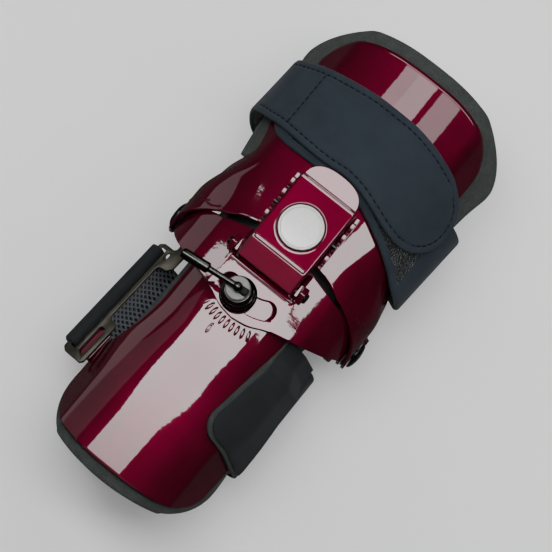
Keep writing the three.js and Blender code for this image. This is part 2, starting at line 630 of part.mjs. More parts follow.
// Assembly: wrist pieces
addPiece('wrist_plate', wristPlate(), redMetal);
addPiece('side_rivet_right', atRivet(turnedAlongX(rivetProfile)), blackMetal);
addPiece('side_rivet_left', atRivet(turnedAlongX(rivetProfile).rotateZ(Math.PI)), blackMetal);
addPiece('side_washer_right', atRivet(turnedAlongX(washerProfile)), nylon);
addPiece('side_washer_left', atRivet(turnedAlongX(washerProfile).rotateZ(Math.PI)), nylon);
addPiece('ear_pad', rod(earPad.radius, earPad.x0, earPad.x1, earPad.y, earPad.z, 24), foamBlack);
addPiece('latch_base', latchBase(), redMetal);
addPiece('hinge_pin', hingePin(), blackMetal);
addPiece('hinge_nut_right', hexNut(17.6, 20.3), redMetal);
addPiece('hinge_nut_left', hexNut(-20.3, -17.6), redMetal);

// Assembly: hand pieces
addPiece('hand_plate', handShell(), redMetal);
addPiece('hand_foam', handLiner(), foamBlack);
addPiece('rack_right', toothedRail(), redMetal);
addPiece('rack_left', toothedRail().translate(-rail.x0 - rail.x1, 0, 0), redMetal);
const handBand = { rows: handStrapRows, thickness: handStrap.thickness, steps: 96, trim: flapTrim };
addPiece('hand_strap', strapBand(handBand), strapBlue);

// Assembly: latch pieces
addPiece('latch_box', latchBox(), redMetal);
addPiece('emblem_disc', turnedUp([[0, 0], [emblem.radius, 0], [emblem.radius, 0.5], [7, 0.9], [0, 1.1]], 40)
  .translate(0, emblem.y, emblem.floor + GAP), silver);
addPiece('latch_cross_pin', crossPin(), blackMetal);

// Assembly: clamp pieces
addPiece('clamp_hub', turnedUp(hubProfile), gunmetal, clampFrame);
addPiece('clamp_cap', turnedUp(capProfile), silver, clampFrame);
addPiece('clamp_lever', turnedAlongX(leverProfile, 16).rotateZ(degToRad(lever.turn)).translate(0, 0, lever.z),
  gunmetal, clampFrame);

export default support;
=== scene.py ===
import math

import bmesh
import bpy
import numpy as np
from mathutils import Matrix, Vector


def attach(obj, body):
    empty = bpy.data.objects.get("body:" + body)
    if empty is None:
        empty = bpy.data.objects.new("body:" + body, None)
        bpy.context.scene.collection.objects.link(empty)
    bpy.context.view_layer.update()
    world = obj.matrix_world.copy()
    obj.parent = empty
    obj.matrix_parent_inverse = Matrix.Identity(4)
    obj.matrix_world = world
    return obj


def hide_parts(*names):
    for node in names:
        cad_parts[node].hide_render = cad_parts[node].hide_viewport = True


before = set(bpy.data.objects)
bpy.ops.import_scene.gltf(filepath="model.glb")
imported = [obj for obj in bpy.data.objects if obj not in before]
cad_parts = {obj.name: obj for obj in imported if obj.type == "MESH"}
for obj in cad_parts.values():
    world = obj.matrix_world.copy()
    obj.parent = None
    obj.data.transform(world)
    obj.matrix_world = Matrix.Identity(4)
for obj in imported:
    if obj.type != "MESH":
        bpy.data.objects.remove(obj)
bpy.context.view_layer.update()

# Camera
# The support is looked at from almost straight above, a little from its elbow end, and the
# picture is turned so that the fingers point up and to the right.
MM = 0.001
look_at = Vector((2.096, 0.168, 50)) * MM
back = Vector((math.tan(math.radians(5)), -math.tan(math.radians(11)), 1)).normalized()
roll, distance = math.radians(39.4), 0.8
level_up = (Vector((0, 1, 0)) - back * back.y).normalized()
level_right = back.cross(level_up) * -1
right = level_right * math.cos(roll) + level_up * math.sin(roll)
up = level_up * math.cos(roll) - level_right * math.sin(roll)
camera = bpy.data.objects.new("camera", bpy.data.cameras.new("camera"))
camera.data.lens, camera.data.sensor_width = 115.09, 36
camera.matrix_world = Matrix.Translation(look_at + back * distance) @ Matrix(
    (right, up, back)).transposed().to_4x4()
bpy.context.scene.collection.objects.link(camera)
bpy.context.scene.camera = camera


# Table and studio light
# A pale table under a large overhead softbox, with gaps in it that draw the deep red bands
# along the plates, and dimmer cards to the sides. The lacquer doesn't mirror the table: a dim
# card below stands in for it and keeps the sides of the plates dark.
def finish(name, **values):
    """A material, with the values of its Principled shader by socket name."""
    made = bpy.data.materials.new(name)
    made.use_nodes = True
    for socket, value in values.items():
        made.node_tree.nodes["Principled BSDF"].inputs[socket.replace("_", " ")].default_value = value
    return made


def add(made, kind, inputs, **settings):
    """One node of a material; each input is a value or the socket that feeds it."""
    node = made.node_tree.nodes.new("ShaderNode" + kind)
    for name, value in settings.items():
        setattr(node, name, value)
    for name, value in inputs.items():
        if isinstance(value, bpy.types.NodeSocket):
            made.node_tree.links.new(value, node.inputs[name])
        else:
            node.inputs[name].default_value = value
    return node


def place(made, uv=False, stretch=(1, 1, 1), turn=0):
    """Object coordinates in millimetres, or the strap's own flat ones, stretched and turned."""
    source = add(made, "TexCoord", {}).outputs["UV" if uv else "Object"]
    scale = Vector(stretch) * (1 if uv else 1 / MM)
    mapping = add(made, "Mapping", {"Vector": source, "Scale": scale, "Rotation": (0, 0, turn)})
    return mapping.outputs["Vector"]


def noise(made, where, size, detail=3):
    """Soft noise whose lumps are about size millimetres across."""
    return add(made, "TexNoise", {"Vector": where, "Scale": 1 / size, "Detail": detail,
                                  "Roughness": 0.55}).outputs["Fac"]


def feed(made, value, socket):
    """A node's output drives a socket of the material's shader."""
    made.node_tree.links.new(value, made.node_tree.nodes["Principled BSDF"].inputs[socket])


def tones(made, level, stops):
    """The base colour by level: two (level, colour) stops with an even run between them."""
    ramp = add(made, "ValToRGB", {"Fac": level})
    for stop, (at, colour) in zip(ramp.color_ramp.elements, stops):
        stop.position, stop.color = at, (*colour, 1)
    feed(made, ramp.outputs["Color"], "Base Color")


def studio_sheet(name, corners, height, material):
    """A level sheet of the studio with corners in millimetres, counter-clockwise."""
    mesh = bpy.data.meshes.new(name)
    mesh.from_pydata([(x * MM, y * MM, height * MM) for x, y in corners], [], [tuple(range(len(corners)))])
    mesh.materials.append(material)
    made = bpy.data.objects.new(name, mesh)
    bpy.context.scene.collection.objects.link(made)
    return made


TABLE_HALF = 1600
pale = finish("pale table", Roughness=0.7)
tones(pale, noise(pale, place(pale), 60), [(0.3, (0.93, 0.93, 0.93)), (0.7, (0.95, 0.95, 0.95))])
table = studio_sheet("table", [(-TABLE_HALF, -TABLE_HALF), (TABLE_HALF, -TABLE_HALF),
                               (TABLE_HALF, TABLE_HALF), (-TABLE_HALF, TABLE_HALF)], 0, pale)
table.visible_glossy = False

world = bpy.data.worlds.new("studio")
bpy.context.scene.world = world
world.use_nodes = True
world.node_tree.nodes["Background"].inputs["Color"].default_value = (0.95, 0.97, 1, 1)
world.node_tree.nodes["Background"].inputs["Strength"].default_value = 0.03


def card(name, radiance, corners, elbow_radiance=None, height=600):
    """A glowing card that the camera doesn't see. Its glow can fall off in a straight line from
    the wrist to elbow_radiance above the elbow end."""
    glow = finish(name, Base_Color=(0, 0, 0, 1), Emission_Color=(1, 1, 1, 1), Emission_Strength=radiance,
                  Roughness=1.0, Specular_IOR_Level=0.0)
    if elbow_radiance is not None:
        y = add(glow, "SeparateXYZ", {"Vector": place(glow)}).outputs["Y"]
        level = add(glow, "MapRange", {"Value": y, "From Min": -120, "From Max": 0,
                                       "To Min": elbow_radiance, "To Max": radiance})
        feed(glow, level.outputs["Result"], "Emission Strength")
    studio_sheet(name, corners, height, glow).visible_camera = False


def wash(name, x, turn):
    """A wide soft light for the table, which the lacquer doesn't mirror."""
    data = bpy.data.lights.new(name, "AREA")
    data.shape, data.size, data.size_y, data.energy = "RECTANGLE", 0.5, 1.6, 5.5
    lamp = bpy.data.objects.new(name, data)
    lamp.location = Vector((x, 0, 620)) * MM
    lamp.rotation_euler = (0, math.radians(turn), 0)
    lamp.visible_camera, lamp.visible_glossy = False, False
    bpy.context.scene.collection.objects.link(lamp)


card("overhead card", 7.8, [
    (-338, -122), (52, -122), (88, -62), (195, -22), (285, 18), (300, 56), (450, 60), (450, 102),
    (-480, 102), (-480, 58), (-440, 25), (-390, -15), (-335, -60)], 4.0)
card("thumb side card", 7.0, [(238, 108), (440, 108), (452, 150), (400, 180), (238, 176)])
card("fingers card", 3.7, [(-95, 232), (44, 232), (44, 345), (-95, 345)])
card("fingers dim card", 3.0, [(-195, 232), (-95, 232), (-95, 345), (-195, 345)])
card("fingers side card", 2.5, [(84, 232), (245, 232), (245, 345), (84, 345)])
card("dim left card", 0.26, [
    (-1300, -400), (-560, -260), (-560, 40), (-760, 104), (-1100, 110), (-1300, 130)], height=606)
card("far left card", 0.6, [(-9000, -2000), (-1300, -400), (-1300, 300), (-9000, 2000)], height=606)
card("dim elbow card", 0.15, [(-420, -460), (300, -460), (300, -135), (-420, -135)])
card("far fingers card", 4.5, [(-420, 480), (480, 480), (480, 640), (-420, 640)])
card("wrist side card", 5.4, [
    (-650, 106), (-440, 106), (-440, 122), (-535, 124), (-560, 142), (-650, 142)])
card("low card", 0.06, [(-3000, -3000), (3000, -3000), (3000, 3000), (-3000, 3000)], height=-60)
wash("table wash left", -900, -20)
wash("table wash right", 900, 20)


# Forearm plate
# A trough of bent sheet metal, candy red: clear red lacquer over bright metal. Ten oval marks
# and a plain nought are pressed into it beside the wrist plate's edge.
def column(rows, k, at):
    """Column k of a table at any place along column 0, on a monotone cubic through its rows."""
    rows = np.asarray(rows, float)
    key, value = rows[:, 0], rows[:, k]
    span = np.diff(key)
    secant = np.diff(value) / span
    before, after = secant[:-1], secant[1:]
    mean = 2 * before * after / np.where(before + after == 0, 1, before + after)
    slope = np.concatenate([secant[:1], np.where(before * after > 0, mean, 0), secant[-1:]])
    at = np.asarray(at, float)
    i = np.clip(np.searchsorted(key, at) - 1, 0, len(key) - 2)
    f = np.clip((at - key[i]) / span[i], 0, 1)
    return (value[i] * (1 + 2 * f) * (1 - f) ** 2 + value[i + 1] * f * f * (3 - 2 * f)
            + span[i] * (slope[i] * f * (1 - f) ** 2 - slope[i + 1] * f * f * (1 - f)))


def trough(sections, length, y, lift=0):
    """Points of a trough: from its crest each side bends as a crown arc, then as a tighter
    bend, and ends in a straight flange. length is measured round the trough from the crest."""
    flange, crest, crown, bend, lean = (column(sections, k, y) for k in range(1, 6))
    end = np.radians(lean)
    start = np.arcsin((flange - bend * np.sin(end)) / (crown - bend))
    s = np.abs(length)
    on_crown = s < crown * start
    past = np.maximum(s - crown * start, 0)
    angle = np.where(on_crown, s / crown, np.minimum(start + past / bend, end))
    hub = np.where(on_crown, 0, crown - bend)
    radius = np.where(on_crown, crown, bend) + lift
    straight = np.maximum(past - bend * (end - start), 0)
    x = hub * np.sin(start) + radius * np.sin(angle) + straight * np.cos(angle)
    z = crest - crown + hub * np.cos(start) + radius * np.cos(angle) - straight * np.sin(angle)
    return np.stack([np.sign(length) * x, y + 0 * x, z], axis=-1)


def corner_draw(t, start, reach):
    """How far a rounded corner draws an end back at t, from 0 on the crest to 1 on the edge."""
    along = np.clip((t - start) / (1 - start), 0, 1)
    return reach * (1 - np.sqrt(1 - along ** 2))


def crowded(count, *fine):
    """Places from -1 to 1, closer together at both ends, with any finer stretches added."""
    even = np.linspace(-0.5, 0.5, count + 1)
    places = np.sin(even * math.pi * 0.84) / math.sin(0.42 * math.pi)
    for low, high, step in fine:
        places = places[(places < low) | (places > high)]
        places = np.concatenate([places, np.arange(low, high, step)])
    return np.sort(places)


def trough_grid(sections, t, v, edge, low, high, lift=0):
    """A grid over a trough: t runs across from edge to edge and v from the low to the high end."""
    t, v = np.meshgrid(t, v, indexing="ij")
    y = low(np.abs(t)) + (high(np.abs(t)) - low(np.abs(t))) * v
    return trough(sections, t * edge(y), y, lift)


def grid_quads(rows, columns):
    """Four-sided faces of a grid of points that is stored row by row."""
    i, j = np.meshgrid(np.arange(rows - 1), np.arange(columns - 1), indexing="ij")
    first = (i * columns + j).ravel()
    return np.stack([first, first + columns, first + columns + 1, first + 1], axis=1)


def piece(name, points, faces, *materials, uv=None):
    """A smooth-shaded mesh object from points and faces, with a flat place for each point."""
    mesh = bpy.data.meshes.new(name)
    mesh.from_pydata((np.asarray(points, float).reshape(-1, 3) * MM).tolist(), [],
                     [list(face) for face in faces])
    for material in materials:
        mesh.materials.append(material)
    if uv is not None:
        corners = np.zeros(len(mesh.loops), np.int32)
        mesh.loops.foreach_get("vertex_index", corners)
        mesh.uv_layers.new(name="flat").data.foreach_set("uv", np.asarray(uv, float)[corners].ravel())
    mesh.shade_smooth()
    made = bpy.data.objects.new(name, mesh)
    bpy.context.scene.collection.objects.link(made)
    return made


def unit(vectors):
    """Vectors divided by their length."""
    return vectors / np.maximum(np.linalg.norm(vectors, axis=-1, keepdims=True), 1e-12)


def facing_sums(points, quads):
    """For each point, the sum of its faces' normals: the cross products of their diagonals."""
    flat = np.cross(points[quads[:, 2]] - points[quads[:, 0]], points[quads[:, 3]] - points[quads[:, 1]])
    total = np.zeros_like(points)
    for k in range(4):
        np.add.at(total, quads[:, k], flat)
    return total


def sheet(name, points, faces, material, thickness, edge):
    """A sheet of even thickness below a surface: the surface, the same again moved in along its
    normals, and between them a rim that is rounded by edge millimetres and lies that far
    outside the surface's own outline, which is found as the sides that only one face has."""
    points = np.asarray(points, float).reshape(-1, 3)
    quads = np.array([tuple(face) + tuple(face[-1:]) * (4 - len(face)) for face in faces])
    normal = unit(facing_sums(points, quads))
    sides = np.concatenate([quads[:, [k, (k + 1) % 4]] for k in range(4)])
    sides = sides[sides[:, 0] != sides[:, 1]]
    keys, back = sides[:, 0] * len(points) + sides[:, 1], sides[:, 1] * len(points) + sides[:, 0]
    open_sides = sides[~np.isin(keys, back)]
    out = np.zeros_like(points)
    along = unit(points[open_sides[:, 1]] - points[open_sides[:, 0]])
    away = np.cross(along, normal[open_sides[:, 0]])
    for k in range(2):
        np.add.at(out, open_sides[:, k], away)
    out = unit(out)
    rim = np.unique(open_sides)
    number = np.full(len(points), -1)
    number[rim] = np.arange(len(rim))
    turns = np.linspace(0, math.pi / 2, 5)[1:]
    profile = [(edge * math.sin(t), edge * (1 - math.cos(t))) for t in turns]
    profile += [(reach, thickness - fall) for reach, fall in profile[::-1]]
    rings = [points[rim] + out[rim] * reach - normal[rim] * fall for reach, fall in profile]
    every = np.concatenate([points, points - normal * thickness, *rings])
    starts = [rim] + [2 * len(points) + len(rim) * k + np.arange(len(rim)) for k in range(len(rings))]
    starts.append(rim + len(points))
    first, second = number[open_sides[:, 0]], number[open_sides[:, 1]]
    bands = [np.stack([above[second], above[first], below[first], below[second]], axis=1)
             for above, below in zip(starts, starts[1:])]
    under = [tuple(len(points) + k for k in face[::-1]) for face in faces]
    return piece(name, every, [tuple(face) for face in faces] + under + [
        tuple(face) for face in np.concatenate(bands)], material)


def seat(made, body, slot, *nodes):
    """The piece rides on its body and stands for those plain solids, which are hidden. slot is not used."""
    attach(made, body)
    if nodes:
        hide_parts(*nodes)


def between(made, level, low, high):
    """Roughness: a level from 0.3 to 0.7 carried over in a straight line to low and high."""
    spread = add(made, "MapRange", {"Value": level, "From Min": 0.3, "From Max": 0.7,
                                    "To Min": low, "To Max": high})
    feed(made, spread.outputs["Result"], "Roughness")


def relief(made, height, depth, strength=1.0, socket="Normal"):
    """Bump whose height runs over depth millimetres."""
    bump = add(made, "Bump", {"Height": height, "Distance": depth * MM, "Strength": strength})
    feed(made, bump.outputs["Normal"], socket)


METAL, EDGE = 1.6, 0.3
forearm_sections = [
    (-121, 31.5, 66, 60, 4.5, 61), (-84, 31.8, 66.7, 55, 5, 63), (-64, 35.5, 67, 51, 13, 68),
    (-38, 35, 67.8, 44, 12, 70), (-20, 35, 68, 44, 12, 70), (10, 35, 68, 44, 12, 70),
]
forearm_edge = [
    (-96, 51), (-85, 52.5), (-76, 53.5), (-70, 48), (-64.8, 39.5), (-56, 35), (-42, 33),
    (-20, 33), (-12, 43), (-6, 47), (5, 47),
]
elbow_low, elbow_corner, elbow_from, forearm_high = -115.1, 20, 0.08, 4
pivot_y = 0.2
mark_radius, mark_count, mark_first, mark_pitch = 34, 10, -13.3, 2.69
mark_half, mark_height, mark_fullness = (0.62, 2.1), 0.42, 1.25
nought_at, nought_half, nought_height, nought_stroke = (-4.6, -39.9), (0.62, 2.0), 0.3, 0.35

red = finish("candy red lacquer", Metallic=0.7, Roughness=0.4, Specular_IOR_Level=0.0,
             Coat_Weight=1.0, Coat_Roughness=0.03, Coat_IOR=1.75)
tones(red, noise(red, place(red), 26), [(0.35, (0.08, 0.0, 0.0115)), (0.65, (0.108, 0.0, 0.0155))])
between(red, noise(red, place(red), 0.9, 4), 0.36, 0.46)
relief(red, noise(red, place(red), 3.5, 2), 0.012, 1.0, "Coat Normal")
flakes = add(red, "TexVoronoi", {"Vector": place(red), "Scale": 4.5}).outputs["Color"]
relief(red, flakes, 0.02, 0.35)


def pressed_marks(x, y):
    """Height of the pressed marks: a root of what is left inside each oval, whose long way
    points at the swivel pin, and a round-topped ring for the nought."""
    height = np.zeros_like(x)
    for k in range(mark_count):
        mark_x = mark_first + mark_pitch * k
        turn = math.asin(mark_x / mark_radius)
        dx, dy = x - mark_x, y - (pivot_y - mark_radius * math.cos(turn))
        across = dx * math.cos(turn) + dy * math.sin(turn)
        along = dy * math.cos(turn) - dx * math.sin(turn)
        apart = (across / mark_half[0]) ** 2 + (along / mark_half[1]) ** 2
        height = np.maximum(height, mark_height * np.clip(mark_fullness - apart, 0, 1) ** 0.5)
    ring = np.hypot((x - nought_at[0]) / nought_half[0], (y - nought_at[1]) / nought_half[1])
    return height + nought_height * np.clip(1 - (np.abs(ring - 1) / nought_stroke) ** 2, 0, 1)


marked = trough_grid(
    forearm_sections, crowded(110, (-0.46, 0.38, 0.0068)),
    np.concatenate([np.linspace(0, 0.6, 70), np.linspace(0.606, 0.725, 44), np.linspace(0.735, 1, 28)]),
    lambda y: column(forearm_edge, 1, y),
    lambda t: elbow_low + corner_draw(t, elbow_from, elbow_corner), lambda t: forearm_high + 0 * t)
outward = unit(np.cross(np.gradient(marked, axis=0), np.gradient(marked, axis=1)))
marked = marked + outward * pressed_marks(marked[..., 0], marked[..., 1])[..., None]
forearm_plate = sheet("forearm_plate_sheet", marked, grid_quads(*marked.shape[:2]), red, METAL, EDGE)
seat(forearm_plate, "forearm", "red_metal", "forearm_plate")

# Forearm liner
# A sheet of dark grey closed-cell foam glued under the plate. It shows as a rim all round the
# elbow end and along both sides.
def cells(made, where, size):
    """Distance to the middle of the nearest of many cells, each about size millimetres across."""
    return add(made, "TexVoronoi", {"Vector": where, "Scale": 1 / size}).outputs["Distance"]


def calc(made, operation, first, second=0.0):
    """Two numbers or sockets put together by one sum."""
    return add(made, "Math", {0: first, 1: second}, operation=operation).outputs[0]


def mixed(made, first, weight, second, other):
    """Two levels added up, the first times weight and the second times other."""
    return calc(made, "ADD", calc(made, "MULTIPLY", first, weight), calc(made, "MULTIPLY", second, other))


FOAM, FOAM_EDGE, SOFT_GAP = 5.5, 1.1, 0.75
forearm_foam_edge = [
    (-100, 60.5), (-85, 60), (-74, 56.5), (-65, 48.5), (-56, 43.6), (-42, 41.6), (-20, 42.5), (-10, 50),
    (0, 56), (13, 58),
]
foam_low, foam_high, foam_corner = -121, 13, 29

foam = finish("liner foam", Roughness=0.92, Specular_IOR_Level=0.12, Sheen_Weight=0.03, Sheen_Roughness=0.5)
pores = cells(foam, place(foam), 0.7)
skin = noise(foam, place(foam), 5, 5)
tones(foam, mixed(foam, pores, 0.35, skin, 0.6),
      [(0.25, (0.024, 0.027, 0.0255)), (0.75, (0.046, 0.052, 0.049))])
relief(foam, calc(foam, "ADD", pores, noise(foam, place(foam), 1.6, 4)), 0.22, 0.6)


def liner(name, sections, edge_table, low, high):
    """A foam sheet under a trough: half its width comes from a table, its ends from functions."""
    grid = trough_grid(sections, crowded(90), np.linspace(0, 1, 110),
                       lambda y: column(edge_table, 1, y) - FOAM_EDGE, low, high, -METAL - SOFT_GAP)
    return sheet(name, grid, grid_quads(*grid.shape[:2]), foam, FOAM, FOAM_EDGE)


forearm_liner = liner(
    "forearm_liner", forearm_sections, forearm_foam_edge,
    lambda t: foam_low + FOAM_EDGE + corner_draw(t, 0, foam_corner), lambda t: foam_high + 0 * t)
seat(forearm_liner, "forearm", "liner_foam", "forearm_foam")

# Wrist plate
# The plate over the wrist, of the same red sheet metal, is folded into soft facets. An arc
# slot for the clamp, the swivel pin's hole and two rivet holes go through it.
rivet_y, rivet_z, ear_radius, rivet_hole, pivot_hole = -2.6, 34, 8.5, 3.1, 2.9
wrist_ear, wrist_crest = 48.6, 70
wrist_folds = [
    (0, 0), (12.5, 0.4), (18.5, 19), (28.5, 22), (33, 33), (41, 37), (46, 52), (54, 72), (62, 90), (110, 90),
]
wrist_low = [
    (0, -30.4), (0.1, -29.2), (0.22, -25.6), (0.46, -20.6), (0.63, -16.8), (0.78, -12.6), (0.9, -10.8),
    (1, -10.5),
]
wrist_high = [(0, 7.2), (0.2, 6.9), (0.34, 5.2), (0.45, 3.4), (0.7, 3), (0.88, 4.4), (1, 5)]
stud, slot_width, slot_half_angle, slot_reach = (-3.8, -20.9), 9.5, math.radians(29), 0.36

fine = np.linspace(0, 110, 2201)
direction = np.radians(column(wrist_folds, 1, fine))
run = np.concatenate([[0], np.cumsum(np.cos(direction[:-1])) * (fine[1] - fine[0])])
drop = np.concatenate([[0], np.cumsum(np.sin(direction[:-1])) * (fine[1] - fine[0])])
growth = wrist_ear / run[-1]
wrist_to_ear = np.interp(wrist_crest - rivet_z, drop * growth, fine * growth)


def folded(length, y):
    """Points of the faceted plate: the folds' direction added up along the length."""
    s = np.abs(length)
    x = np.interp(s, fine * growth, run * growth)
    z = wrist_crest - np.interp(s, fine * growth, drop * growth)
    return np.stack([np.sign(length) * x, y + 0 * x, z], axis=-1)


def ear_edge(to_ear, y):
    """Half width where the edge runs round the rivet in the ear's circle."""
    reach = np.minimum(np.abs(y - rivet_y), ear_radius - 0.1)
    return to_ear + np.sqrt(ear_radius ** 2 - reach ** 2)


def arc_slot(p):
    """Distance outside the clamp's slot: an arc about the swivel pin with round ends."""
    x, y = p[:, 0], p[:, 1] - pivot_y
    radius = math.hypot(stud[0], stud[1] - pivot_y)
    turn = np.clip(np.arctan2(x, -y), -slot_half_angle, slot_half_angle)
    return np.hypot(x - radius * np.sin(turn), y + radius * np.cos(turn)) - slot_width / 2


def without(points, faces, axis, centre, radius):
    """The faces that are left round a hole along X or Z which other pieces cover."""
    middle = np.array([points[list(face)].mean(axis=0) for face in faces])
    a, b = (middle[:, 1], middle[:, 2]) if axis == 0 else (middle[:, 0], middle[:, 1])
    inside = np.hypot(a - centre[0], b - centre[1]) < radius
    return [face for face, gone in zip(faces, inside) if not gone]


def cut(points, faces, outside, near):
    """Cuts a hole along Z through four-sided faces. Points within `near` of its outline slide
    onto it down the slope of their distance, along the sheet, and what then lies inside is
    taken away. outside gives the distance from the outline."""
    normal = facing_sums(points, np.array(faces))
    away = outside(points)
    step = 1e-4
    slope = np.stack([(outside(points + step * np.eye(3)[k]) - away) / step for k in range(3)], axis=1)
    moved = np.abs(away) < near
    shift = -away[:, None] * slope
    shift[:, 2] = 0
    safe = np.where(np.abs(normal[:, 2]) < 1e-9, 1, normal[:, 2])
    shift[:, 2] = -(shift * normal).sum(axis=1) / safe
    moved &= np.abs(shift[:, 2]) < near
    points = np.where(moved[:, None], points + shift, points)
    state = np.where(moved, 0, np.sign(away))
    kept = []
    for face in faces:
        sides = state[list(face)]
        if sides.min() >= 0 and (sides.max() > 0 or away[list(face)].mean() > 0):
            kept.append(tuple(face))
        elif sides.max() > 0:
            count = len(face)
            for k in np.flatnonzero(sides > 0):
                corner = (face[k - 1], face[k], face[(k + 1) % count])
                if state[list(corner)].min() >= 0:
                    kept.append(corner)
    return points, kept


wrist_grid_t = crowded(120, (-0.3, 0.3, 0.008))
t_grid, v_grid = np.meshgrid(wrist_grid_t, np.linspace(0, 1, 60), indexing="ij")
wrist_y = column(wrist_low, 1, np.abs(t_grid)) * (1 - v_grid) + column(
    wrist_high, 1, np.abs(t_grid)) * v_grid
wrist_half = ear_edge(wrist_to_ear, np.clip(wrist_y, rivet_y - ear_radius, rivet_y + ear_radius))
wrist_points = folded(t_grid * wrist_half, wrist_y).reshape(-1, 3)
wrist_faces = [tuple(face) for face in grid_quads(*t_grid.shape)]
wrist_points, wrist_faces = cut(wrist_points, wrist_faces, arc_slot, slot_reach)
wrist_faces = without(wrist_points, wrist_faces, 2, (0, pivot_y), pivot_hole)
wrist_faces = without(wrist_points, wrist_faces, 0, (rivet_y, rivet_z), rivet_hole)
wrist_plate = sheet("wrist_plate_sheet", wrist_points, wrist_faces, red, METAL, EDGE)
seat(wrist_plate, "wrist", "red_metal", "wrist_plate")

# Hand plate and liner
# A hood of the same red sheet metal. It is riveted to the wrist plate's ears as a hinge and
# narrows to a trough over the back of the hand, with its own foam past the knuckle end.
hand_sections = [
    (-15, 51.5, 74, 70, 20, 90), (10, 51.5, 74, 70, 20, 90), (38, 40, 74, 84, 16, 60),
    (60, 37.8, 74, 90, 14, 52), (122, 37.3, 74, 90, 14, 50),
]
hand_low = [
    (0, 10.8), (0.2, 10.7), (0.34, 9), (0.5, 3.9), (0.67, -3.6), (0.8, -9), (0.9, -11), (1, -11),
]
hand_edge = [
    (5.8, 72.5), (12, 71.5), (20, 68.5), (27, 61.5), (33, 51), (39, 45.2), (46, 47), (54, 50.5),
    (64, 51.5), (122, 51.5),
]
knuckle_high, knuckle_corner, knuckle_from = 111.6, 20, 0.25
hand_foam_low, hand_foam_side, hand_foam_high, hand_foam_corner, hand_foam_from = 15, 36, 119, 25, 0.12
hand_foam_edge = [(10, 64), (60, 64), (78, 66), (98, 70.5), (122, 71)]
knuckle_roll, knuckle_drop, foam_ease_from, foam_ease_over = 2.2, 0.7, 0.45, 0.4


def to_ear(flange, crest, crown, bend):
    """Length round a trough from its crest down to the rivet in its upright ear."""
    start = math.asin((flange - bend) / (crown - bend))
    top = crest - crown + (crown - bend) * math.cos(start)
    return crown * start + bend * (math.pi / 2 - start) + top - rivet_z


def hand_half(y):
    """Half width of the hand plate: the ear's circle beside the rivets, then its table."""
    ear = ear_edge(to_ear(*hand_sections[0][1:5]), y)
    return np.where(y < hand_edge[0][0], ear, column(hand_edge, 1, y))


hand_places = np.concatenate([np.linspace(0, 0.975, 120), np.linspace(0.978, 1, 16)])
hand_grid = trough_grid(
    hand_sections, crowded(130), hand_places, hand_half, lambda t: column(hand_low, 1, t),
    lambda t: knuckle_high - corner_draw(t, knuckle_from, knuckle_corner))
to_end = hand_grid[:, -1:, 1] - hand_grid[..., 1]
hand_grid[..., 2] -= knuckle_drop * np.clip(1 - to_end / knuckle_roll, 0, 1) ** 2
hand_points = hand_grid.reshape(-1, 3)
hand_faces = [tuple(face) for face in grid_quads(*hand_grid.shape[:2])]
hand_faces = without(hand_points, hand_faces, 0, (rivet_y, rivet_z), rivet_hole)
hand_plate = sheet("hand_plate_sheet", hand_points, hand_faces, red, METAL, EDGE)
seat(hand_plate, "hand", "red_metal", "hand_plate")


def hand_foam_start(t):
    """Where the liner starts: further from the wrist at its sides, eased in by a smooth step."""
    ease = np.clip((t - foam_ease_from) / foam_ease_over, 0, 1)
    return hand_foam_low + (hand_foam_side - hand_foam_low) * ease * ease * (3 - 2 * ease)


hand_liner = liner(
    "hand_liner", hand_sections, hand_foam_edge, lambda t: hand_foam_start(t) + FOAM_EDGE,
    lambda t: hand_foam_high - FOAM_EDGE - corner_draw(t, hand_foam_from, hand_foam_corner))
seat(hand_liner, "hand", "liner_foam", "hand_foam")

# Strap bracket
# A stamped frame of dark brownish steel on the thumb side. Its edges are rolled over, and the
# strap goes through its long slot.
steel = finish("dark bracket steel", Metallic=0.85, Roughness=0.42, Coat_Weight=0.2, Coat_Roughness=0.25)
streaks = noise(steel, place(steel, stretch=(1, 0.08, 1)), 0.5, 4)
tones(steel, mixed(steel, streaks, 0.4, noise(steel, place(steel), 9, 4), 0.6),
      [(0.3, (0.022, 0.02, 0.015)), (0.7, (0.058, 0.053, 0.041))])
between(steel, streaks, 0.34, 0.5)
relief(steel, streaks, 0.05, 0.4)


def rounded(made, width, angle=40):
    """Edges sharper than angle degrees are rounded off by width millimetres."""
    bevel = made.modifiers.new("round", "BEVEL")
    bevel.width, bevel.segments, bevel.limit_method = width * MM, 3, "ANGLE"
    bevel.angle_limit, bevel.use_clamp_overlap, bevel.harden_normals = math.radians(angle), False, True
    return made


def merged_copy(node, name, material, width):
    """A copy of a plain solid with its points merged, its flat faces made whole and its edges
    rounded off by width millimetres."""
    mesh = bpy.data.meshes.new(name)
    work = bmesh.new()
    work.from_mesh(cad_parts[node].data)
    bmesh.ops.remove_doubles(work, verts=work.verts, dist=1e-6)
    bmesh.ops.dissolve_limit(work, angle_limit=math.radians(1), verts=work.verts, edges=work.edges)
    work.to_mesh(mesh)
    work.free()
    mesh.materials.clear()
    mesh.materials.append(material)
    mesh.shade_smooth()
    made = bpy.data.objects.new(name, mesh)
    bpy.context.scene.collection.objects.link(made)
    return rounded(made, width, 25)


bracket = merged_copy("strap_bracket", "bracket_frame", steel, 0.45)
seat(bracket, "forearm", "dark_steel", "strap_bracket")

# Forearm pad
# The padded end of the forearm strap lies over the right side of the plate: a grey foam core
# with a bevelled rim, and a smooth black face set in from the rim.
pad_lift, pad_full, pad_thin = 0.4, 4.5, 1.1
pad_left, pad_right, pad_high, pad_low, pad_slant, pad_corner = (26.5, 19.8), 56, -20.6, -76, 5.5, 8
pad_rim, pad_corner_from, pad_slope_from, pad_slope_over = 3.2, 0.8, -26, 42
pad_thins_from, pad_thins_over = -37, 8
core_rim, core_rise, face_low, face_rim, face_rise, face_inset = 0.42, 0.3, 0.73, 0.84, 0.16, 1.3

